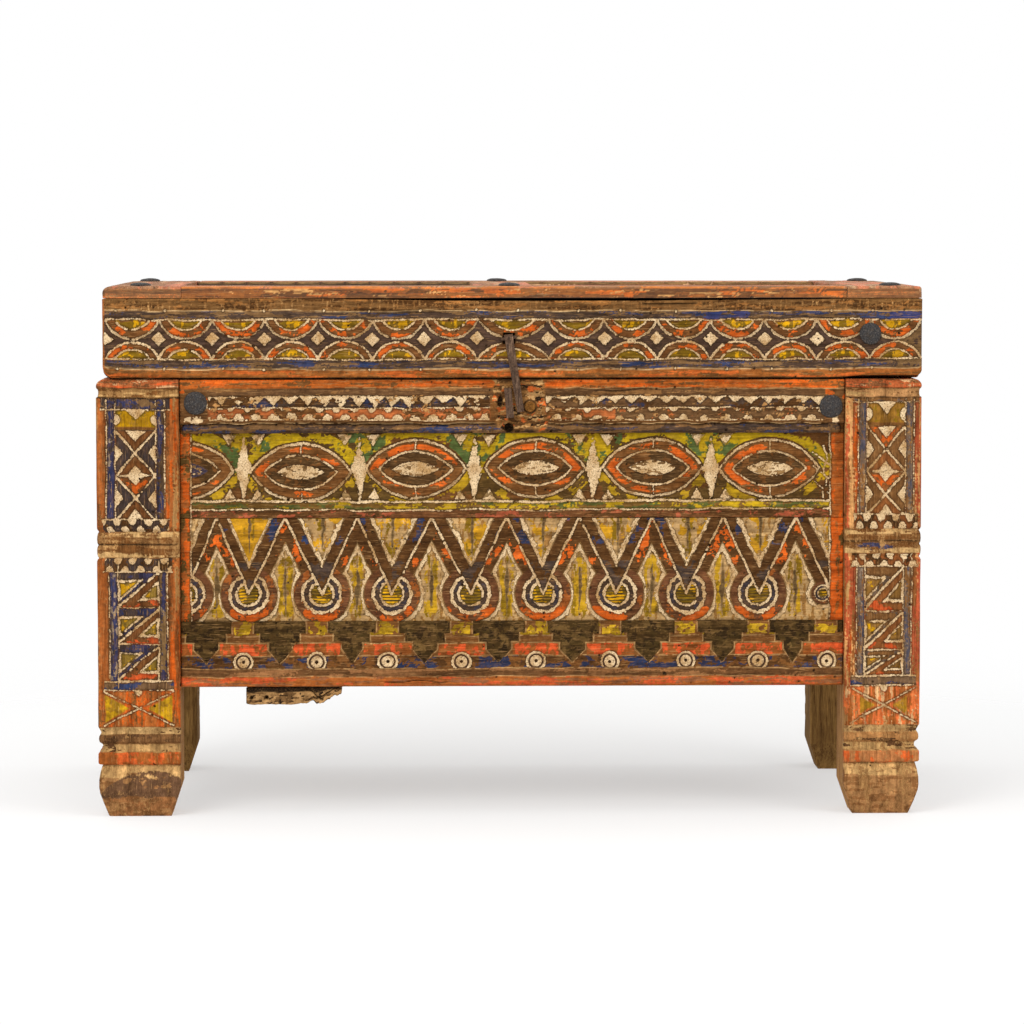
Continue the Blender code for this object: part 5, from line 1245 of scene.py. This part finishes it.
def make_paint_group():
    """Worn paint: flakes of a second coat lie on the first with torn edges, both are uneven and darker in
    the fibres, and the wood comes through where the cover is rubbed thin."""
    n, given, out = shader_group(
        "worn_paint", "Wood:Color Paint:Color Cover:Float Flake:Color Flakes:Float Place:Vector Grain:Vector "
        "Fibre:Float", "Colour:Color Mask:Float")
    grit = n.noise(given["Place"], 430.0, 4.0, 0.65)
    mottle = n.noise(given["Place"], 130.0, 6.0, 0.7)
    fibre = given["Fibre"]
    torn = n.plus(n.times(fibre, 1.1), n.times(grit, 0.7))
    flaked = n.remap(n.plus(given["Flakes"], n.minus(torn, 0.9)), 0.42, 0.56)
    coat = n.blend(flaked, given["Paint"], given["Flake"])
    coat = n.shaded(coat, mottle, 0.3, 0.7, (0.66, 0.63, 0.6), (1.32, 1.31, 1.28))
    coat = n.shaded(coat, fibre, 0.34, 0.6, (0.4, 0.37, 0.33), (1.29, 1.29, 1.29))
    scratch = n.remap(n.noise(given["Grain"], 9.0, 3.0, 0.6), 0.58, 0.68, 0.0, 0.5)
    coat = n.blend(scratch, coat, tint(190, 144, 92))
    rubbed = n.plus(n.times(grit, 0.75), n.times(fibre, 0.35))
    mask = n.remap(n.minus(n.times(given["Cover"], 0.92), n.minus(rubbed, 0.25)), -0.02, 0.14)
    n.feed(out["Colour"], n.blend(mask, given["Wood"], coat))
    n.feed(out["Mask"], mask)
    return n.tree


def make_hollows_and_specks_group():
    """Hollows go darker and duller the deeper they are cut, and fine dark specks lie over everything."""
    n, given, out = shader_group("hollows_and_specks", "Colour:Color Hollow:Float Place:Vector", "Colour:Color")
    patch = n.noise(given["Place"], 70.0, 5.0, 0.65)
    specks = n.remap(n.noise(given["Place"], 900.0, 2.0, 0.5), 0.64, 0.72)
    # Hollows darken by how deep they are cut, more in some patches than in others.
    depth = n.times(given["Hollow"], n.remap(patch, 0.3, 0.7, 0.1, 0.4))
    darkening = n.reckon("MAXIMUM", depth, n.times(specks, 0.45))
    n.feed(out["Colour"], n.blend(darkening, given["Colour"], tint(48, 31, 14)))
    return n.tree


def make_lime_group():
    """Lime rubbed into the cuts: its field is cut off at a ragged edge, it is bright and dirty in patches
    and pitted, and a dark rim of painted shade lies along it."""
    n, given, out = shader_group("rubbed_lime", "Colour:Color Lime:Float Place:Vector", "Colour:Color Mask:Float")
    grit = n.noise(given["Place"], 430.0, 4.0, 0.65)
    tone = n.noise(given["Place"], 42.0, 5.0, 0.65)
    pits = n.remap(n.noise(given["Place"], 760.0, 2.0, 0.5), 0.57, 0.63)
    mask = n.remap(n.plus(given["Lime"], n.minus(n.times(grit, 2.8), 1.4)), -0.15, 0.3)
    # Painted shade: a dark band along the outside of every lime line, where a groove's edge would shade.
    rim = n.times(n.remap(given["Lime"], -1.8, -0.3), n.remap(tone, 0.3, 0.6, 0.35, 0.75))
    colour = n.blend(rim, given["Colour"], tint(50, 33, 16))
    lime = n.blend(n.remap(tone, 0.36, 0.62), tint(184, 144, 94), tint(232, 203, 160))
    lime = n.shaded(lime, grit, 0.35, 0.6, (0.72, 0.68, 0.62), (1.06, 1.06, 1.06))
    lime = n.blend(n.times(pits, 0.75), lime, tint(74, 49, 26))
    n.feed(out["Colour"], n.blend(mask, colour, lime))
    n.feed(out["Mask"], mask)
    return n.tree


GRAIN_GROUP = make_grain_group()
PAINT_GROUP = make_paint_group()
HOLLOWS_AND_SPECKS_GROUP = make_hollows_and_specks_group()
LIME_GROUP = make_lime_group()
STRETCH = {"x": (7.0, 130.0, 130.0), "y": (130.0, 7.0, 130.0), "z": (130.0, 130.0, 7.0)}
BARE_ROUGHNESS, COATED_ROUGHNESS = 0.82, 0.66


def new_material(name):
    """Empty material: itself, its nodes, its shader's sockets and the place on the piece."""
    material = bpy.data.materials.new(name)
    material.use_nodes = True
    n = Nodes(material.node_tree)
    return material, n, n.tree.nodes["Principled BSDF"].inputs, n.add("TexCoord").outputs["Object"]


def wood_material(name, grain, light, dark, painted=True, gloss=0.04):
    """Wood with its grain along an axis, under worn paint read from the piece if it is painted."""
    material, n, shader, place = new_material(name)
    along = n.add("Mapping", None, Vector=place, Scale=STRETCH[grain]).outputs[0]
    wood = n.use(GRAIN_GROUP, Grain=along, Place=place, Light=light, Dark=dark)
    colour, height, roughness = wood["Colour"], wood["Height"], BARE_ROUGHNESS
    if painted:
        paint, flake, lime, hollow = (n.add("Attribute", {"attribute_name": label}).outputs for label, *_ in LAYERS)
        coat = n.use(PAINT_GROUP, Wood=colour, Paint=paint["Color"], Cover=paint["Alpha"], Flake=flake["Color"],
                     Flakes=flake["Alpha"], Place=place, Grain=along, Fibre=height)
        darkening = n.use(HOLLOWS_AND_SPECKS_GROUP, Colour=coat["Colour"], Place=place, Hollow=hollow["Fac"])
        rubbed = n.use(LIME_GROUP, Colour=darkening["Colour"], Place=place, Lime=lime["Fac"])
        cover = n.reckon("MAXIMUM", coat["Mask"], rubbed["Mask"])
        colour = rubbed["Colour"]
        height = n.plus(height, n.times(cover, 0.35))
        roughness = n.remap(cover, 0.0, 1.0, BARE_ROUGHNESS, COATED_ROUGHNESS)
    n.feed(shader["Base Color"], colour)
    n.feed(shader["Roughness"], roughness)
    n.feed(shader["Normal"], n.add("Bump", None, Height=height, Strength=0.8, Distance=0.0016).outputs[0])
    shader["Specular IOR Level"].default_value = gloss
    return material


def iron_material(name, scale, rust_colour, bright, drawn_out):
    """Forged iron: dark scale with rust in patches, rubbed streaks drawn out along the bar, and small pits."""
    material, n, shader, place = new_material(name)
    rust = n.remap(n.noise(place, 160.0, 6.0, 0.7), 0.45, 0.65)
    fine = n.noise(place, 480.0, 5.0, 0.7)
    turned = n.add("Mapping", None, Vector=place, Rotation=(0, math.radians(-8.0), 0), Scale=(520.0, 520.0, drawn_out))
    drawn = n.noise(turned.outputs[0], 1.0, 4.0, 0.6)
    rubbed = n.remap(n.reckon("MAXIMUM", fine, drawn), 0.56, 0.68, 0.0, 0.8)
    colour = n.blend(rubbed, n.blend(rust, scale, rust_colour), bright)
    pits = n.reckon("MINIMUM", fine, drawn)
    n.feed(shader["Base Color"], n.shaded(colour, pits, 0.32, 0.47, (0.42, 0.4, 0.38), (1.1, 1.1, 1.1)))
    n.feed(shader["Roughness"], n.remap(rust, 0.0, 1.0, 0.55, 0.85))
    n.feed(shader["Metallic"], n.remap(rust, 0.0, 1.0, 0.25, 0.05))
    n.feed(shader["Normal"], n.add("Bump", None, Height=fine, Strength=0.9, Distance=0.002).outputs[0])
    shader["Specular IOR Level"].default_value = 0.25
    return material


FRONT_TONES = tint(206, 158, 100), tint(132, 90, 50)
LID_TONES = tint(178, 128, 88), tint(134, 90, 58)
FRONT_WOOD = wood_material("carved_front_wood", "x", *FRONT_TONES)
POST_WOOD = wood_material("carved_post_wood", "z", *FRONT_TONES)
SIDE_WOOD = wood_material("side_board_wood", "y", tint(140, 100, 60), tint(84, 56, 33))
BACK_WOOD = wood_material("back_board_wood", "x", tint(136, 98, 58), tint(80, 54, 32))
BACK_POST_WOOD = wood_material("back_post_wood", "z", tint(166, 128, 74), tint(104, 75, 42))
LID_X_WOOD = wood_material("lid_rail_wood", "x", *LID_TONES, gloss=0.35)
LID_Y_WOOD = wood_material("lid_end_wood", "y", *LID_TONES, gloss=0.35)
FLOOR_WOOD = wood_material("floor_wood", "x", tint(150, 112, 70), tint(92, 64, 40), painted=False)
BEARER_WOOD = wood_material("rough_plank_wood", "y", tint(196, 156, 104), tint(138, 100, 60))
PLUG_WOOD = wood_material("plug_wood", "y", tint(172, 118, 56), tint(96, 62, 28), painted=False)
NAIL_IRON = iron_material("nail_iron", tint(56, 54, 54), tint(60, 51, 44), tint(104, 95, 86), 520.0)
HASP_IRON = iron_material("hasp_iron", tint(88, 65, 48), tint(74, 51, 36), tint(142, 112, 88), 45.0)


# ---- pieces ----

def fit(obj, material, body, slot, *nodes):
    """Give a piece its material and body, and let it stand for its solids."""
    obj.data.materials.append(material)
    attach(obj, body)
    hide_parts(*nodes)
    return obj


LEFT, RIGHT = -0.3997, 0.4067
LID_LEFT, LID_RIGHT, LID_FRONT, LID_BACK = -0.4915, 0.4995, -0.245, 0.231
SKIRT_LOW, SKIRT_TOP, TOP_LOW, LID_TOP = 0.5325, 0.6297, 0.630, 0.6445
RAIL_LEFT, RAIL_RIGHT, FIELD_FRONT, FIELD_BACK = -0.3962, 0.4077, -0.1647, 0.1507


def lid_corner(a):
    """Rise of the lid front's lower edge: a 13 mm quarter round at the left end, a 5 mm chamfer at
    the right, and a warp of 2.4 mm over the right post."""
    near = np.clip((a - LID_LEFT) / 0.013, 0, 1)
    chamfer = np.clip(0.005 - (LID_RIGHT - a), 0, None)
    return 0.013 * (1 - np.sqrt(1 - (1 - near) ** 2)) + chamfer + 0.0024 * step(a, 0.39, 0.43)


def lid_warp(a):
    """Dip of the lid front's upper edge, which has pulled away from the top by up to 2.6 mm right of
    its middle."""
    t = np.clip((a + 0.215) / 0.62, 0, 1)
    return 0.0026 * np.sin(math.pi * t ** 0.8) ** 0.7


def broken_corner(a):
    """Rise of the plank's lower edge where its corner is broken off, with splinters."""
    t = np.clip((a + 0.2268) / 0.022, 0, 1)
    near = np.clip((a + 0.262) / 0.02, 0, 1)
    splinters = 0.004 * near * smooth_noise(a / 0.006, a * 0, 71)
    return 0.010 * t ** 0.7 + splinters + 0.002 * near * smooth_noise(a / 0.0017, a * 0, 72)


# The carved front.
fit(board("lid_front", (LID_LEFT, LID_FRONT, SKIRT_LOW), (LID_RIGHT, -0.223, SKIRT_TOP), "-y", carve_lid_front, 0.00115,
          (0.005, 0.001), 0.0015, 0.004, lid_corner, lid_warp), FRONT_WOOD, "lid", "painted_wood", "lid_front_board")
for name, node, carve, front_y, low_z, high_z, cell, bends, end_bend in (
        ("top_rail", "front_top_rail", carve_top_rail, -0.241, 0.4665, 0.532, 0.00105, (0.0006, 0.002), 0.002),
        ("eye_panel", "front_upper_panel", carve_eye_panel, -0.233, 0.3633, 0.4665, 0.0011, (0.0004, 0.0004), 0.001),
        ("v_panel", "front_lower_panel", carve_v_panel, -0.233, 0.2373, 0.3627, 0.0011, (0.0004, 0.0004), 0.001),
        ("bottom_rail", "front_bottom_rail", carve_bottom_rail, -0.239, 0.158, 0.2373, 0.0011, (0.002, 0.0006), 0.002)):
    fit(board(name, (LEFT, front_y, low_z), (RIGHT, -0.213, high_z), "-y", carve, cell, bends, end_bend, square=True),
        FRONT_WOOD, "chest", "painted_wood", node)
POSTS = (("left", -0.500, -0.400, (136.3, 19.8, 0.0, 61), 81), ("right", 0.500, 0.407, (887.0, 19.0, 0.6, 67), 82))
for side, x_out, x_in, drawing, _ in POSTS:
    fit(post("front_%s_post" % side, x_out, x_in, -0.247, -0.167,
             lambda x, z: carve_post(column(x), row(z), *drawing), 0.0011, 0.004),
        POST_WOOD, "chest", "painted_wood", "post_front_" + side)

# The plain boards of the body.
for side, x_out, x_in, _, seed in POSTS:
    fit(post("back_%s_post" % side, x_out, x_in, 0.233, 0.153, back_post_carving(seed), 0.003, 0.005),
        BACK_POST_WOOD, "chest", "bare_wood", "post_back_" + side)
LEVELS = (("top_rail", 0.4665, 0.532, 0.006), ("upper_panel", 0.3633, 0.4662, 0.014),
          ("lower_panel", 0.2373, 0.3627, 0.014), ("bottom_rail", 0.158, 0.237, 0.008))
SIDE_PAINT = tint(128, 72, 42)
for k, (level, low_z, high_z, back_set) in enumerate(LEVELS):
    fit(board("back_board_" + level, (LEFT, 0.199, low_z), (RIGHT, 0.233 - back_set, high_z), "+y",
              plain_carving(100 + 3 * k), 0.0013, along_cell=0.003), BACK_WOOD, "chest", "bare_wood", "back_" + level)
    for side, face, low_x, high_x, seed in (("left", "-x", -0.500 + back_set, -0.466, 120),
                                            ("right", "+x", 0.466, 0.500 - back_set, 140)):
        fit(board("%s_board_%s" % (side, level), (low_x, -0.1667, low_z), (high_x, 0.1527, high_z), face,
                  plain_carving(seed + 3 * k, SIDE_PAINT, 0.7), 0.0013, along_cell=0.0026),
            SIDE_WOOD, "chest", "painted_wood", "%s_%s" % (side, level))

# The rest of the lid.
fit(board("lid_back", (LID_LEFT, 0.209, SKIRT_LOW), (LID_RIGHT, LID_BACK, SKIRT_TOP), "+y", plain_carving(161), 0.0013,
          (0.003, 0.002), 0.003, 0.004, lid_corner, along_cell=0.003), BACK_WOOD, "lid", "bare_wood", "lid_back_board")
for side, face, low_x, high_x, seed, bend in (("left", "-x", LID_LEFT, -0.4695, 164, 0.009),
                                              ("right", "+x", 0.4775, LID_RIGHT, 167, 0.004)):
    fit(board("lid_%s_end" % side, (low_x, -0.2227, SKIRT_LOW), (high_x, 0.2087, SKIRT_TOP), face,
              plain_carving(seed, tint(150, 78, 44), 0.75), 0.0013, (bend, 0.002), along_cell=0.0026),
        SIDE_WOOD, "lid", "painted_wood", "lid_%s_board" % side)
fit(board("lid_top_front", (RAIL_LEFT, LID_FRONT, TOP_LOW), (RAIL_RIGHT, -0.165, LID_TOP), "+z",
          lid_top_carving(171, -0.244, 0.4, True), 0.002, (0.004, 0.003), 0.0003, 0.0015),
    LID_X_WOOD, "lid", "painted_wood", "lid_front_rail")
fit(board("lid_top_back", (RAIL_LEFT, 0.151, TOP_LOW), (RAIL_RIGHT, LID_BACK, LID_TOP), "+z", back_rail_carving,
          0.002, (0.001, 0.003), 0.0008, 0.003), LID_X_WOOD, "lid", "painted_wood", "lid_back_rail")
for side, low_x, high_x, carve, bends, end_colour, flush in (
        ("left", LID_LEFT, -0.3965, lid_top_carving(177, -0.4885, 0.36), (0.009, 0.0005), tint(128, 82, 41), 1),
        ("right", 0.408, LID_RIGHT, lid_top_carving(180, 0.0, 0.36), (0.002, 0.004), tint(140, 88, 44), 0)):
    end_rail = fit(board("lid_top_" + side, (low_x, LID_FRONT, TOP_LOW), (high_x, LID_BACK, LID_TOP), "+z_deep", carve,
                         0.002, bends, 0.003, 0.002, end_colour=end_colour, flush=flush),
                   LID_Y_WOOD, "lid", "painted_wood", "lid_end_rail_" + side)
    end_rail.data.materials.append(LID_X_WOOD)  # its two ends, the last faces, show grain across
    for k in (1, 2):
        end_rail.data.polygons[len(end_rail.data.polygons) - k].material_index = 1
fit(board("lid_top_middle", (-0.0424, FIELD_FRONT, TOP_LOW), (0.0306, FIELD_BACK, LID_TOP), "+z_deep",
          lid_top_carving(183, -1.0, 0.36), 0.002, (0.002, 0.002), 0.0008, 0.003),
    LID_Y_WOOD, "lid", "painted_wood", "lid_muntin")
for side, x0, x1, seed in (("left", RAIL_LEFT, -0.0427, 186), ("right", 0.0309, RAIL_RIGHT, 189)):
    fit(board("lid_field_" + side, (x0, FIELD_FRONT, 0.631), (x1, FIELD_BACK, 0.6394), "+z",
              lid_top_carving(seed, -1.0, 0.44), 0.003, (0.001, 0.001), 0.0008, 0.003),
        LID_X_WOOD, "lid", "painted_wood", "lid_panel_" + side)

# The plank, the ironwork and the plug.
fit(board("plank", (-0.3208, -0.235, 0.1352), (-0.2048, 0.221, 0.1577), "-y", plank_carving,
          0.0012, (0.002, 0.001), 0.002, 0.03, broken_corner), BEARER_WOOD, "chest", "bare_wood", "floor_bearer")
DOMES = (("lid_left_front", (-0.448, -0.195, LID_TOP), "+z", 0.0135, "lid"),
         ("lid_left_back", (-0.460, 0.186, LID_TOP), "+z", 0.0135, "lid"),
         ("lid_right_front", (0.4657, -0.195, LID_TOP), "+z", 0.0135, "lid"),
         ("lid_right_back", (0.469, 0.186, LID_TOP), "+z", 0.0135, "lid"),
         ("lid_middle_front", (0.0, -0.205, LID_TOP), "+z", 0.0135, "lid"),
         ("lid_middle_back", (-0.0056, 0.191, LID_TOP), "+z", 0.0135, "lid"),
         ("lid_skirt", (0.4366, LID_FRONT, 0.5867), "-y", 0.0135, "lid"),
         ("rail_left", (-0.380, -0.241, 0.5034), "-y", 0.0145, "chest"),
         ("rail_right", (0.3898, -0.241, 0.4986), "-y", 0.0145, "chest"))
for k, (place, foot, outward, radius, body) in enumerate(DOMES):
    fit(dome("nail_" + place, foot, outward, radius, 0.004, 200 + 2 * k), NAIL_IRON, body, "iron", "dome_" + place)
fit(dome("plug", (0.0242, -0.241, 0.4986), "-y", 0.0063, 0.0012, 230), PLUG_WOOD, "chest", "plug_wood", "lock_plug")
for node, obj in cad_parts.items():
    if node.startswith(("hinge", "hasp", "lock_staple", "floor_board")):
        obj.data.materials.clear()
        obj.data.materials.append(FLOOR_WOOD if node.startswith("floor_board") else HASP_IRON)


# ---- floor, light and camera ----

FLOOR_RADIUS, FLOOR_CORNERS = 3.2, 64


def make_floor():
    """Pale floor that fades out into the white background, so that only the chest's shadow shows on it."""
    mesh = bpy.data.meshes.new("floor")
    turn = np.linspace(0, 2 * math.pi, FLOOR_CORNERS, endpoint=False)
    rim = [(FLOOR_RADIUS * math.cos(t), FLOOR_RADIUS * math.sin(t), 0.0) for t in turn]
    mesh.from_pydata(rim, [], [tuple(range(FLOOR_CORNERS))])
    obj = bpy.data.objects.new("floor", mesh)
    bpy.context.scene.collection.objects.link(obj)
    material, n, shader, place = new_material("pale_floor")
    shader["Base Color"].default_value = (0.93, 0.925, 0.915, 1)
    shader["Roughness"].default_value = 0.9
    shader["Specular IOR Level"].default_value = 0.0
    away = n.add("VectorMath", {"operation": "LENGTH"}, i0=place).outputs["Value"]
    n.feed(shader["Alpha"], n.remap(away, 0.5, 1.9, 0.5, 0.0, "SMOOTHSTEP"))
    mesh.materials.append(material)


def make_world():
    """Even soft light from all round; plain white where the camera looks past the chest."""
    world = bpy.data.worlds.new("studio")
    bpy.context.scene.world = world
    world.use_nodes = True
    n = Nodes(world.node_tree)
    ground = n.tree.nodes["Background"].inputs
    path = n.add("LightPath").outputs
    seen = n.reckon("MAXIMUM", path["Is Camera Ray"], path["Is Transmission Ray"])
    seen = n.reckon("MAXIMUM", seen, path["Is Glossy Ray"])
    n.feed(ground["Strength"], n.remap(seen, 0.0, 1.0, 0.8, 1.0))
    ground["Color"].default_value = (1, 1, 1, 1)


def soft_light(name, place, target, size, power):
    """Square soft box pointing at a place."""
    light = bpy.data.lights.new(name, "AREA")
    light.size = size
    light.energy = power
    obj = bpy.data.objects.new(name, light)
    obj.location = place
    obj.rotation_euler = (Vector(target) - Vector(place)).to_track_quat("-Z", "Y").to_euler()
    bpy.context.scene.collection.objects.link(obj)


def make_camera():
    """Long lens in front of the chest, a little left of its middle and looking slightly down."""
    camera = bpy.data.cameras.new("camera")
    camera.sensor_width = 36.0
    camera.lens = 140.625
    obj = bpy.data.objects.new("camera", camera)
    yaw, pitch = math.radians(1.604), math.radians(4.128)
    ahead = Vector((math.sin(yaw) * math.cos(pitch), math.cos(yaw) * math.cos(pitch), -math.sin(pitch)))
    turned = ahead.to_track_quat("-Z", "Y").to_matrix().to_4x4()
    obj.matrix_world = Matrix.Translation((-0.133, -5.078, 0.72)) @ turned
    bpy.context.scene.collection.objects.link(obj)
    bpy.context.scene.camera = obj


make_floor()
make_world()
soft_light("key", (-1.7, -3.0, 2.7), (0, 0, 0.35), 1.8, 66.0)
soft_light("fill", (2.6, -2.6, 1.6), (0, 0, 0.35), 1.6, 26.0)
soft_light("above", (0.0, -0.4, 3.4), (0, 0, 0.3), 2.6, 26.0)
make_camera()
bpy.context.scene.view_settings.view_transform = "Standard"
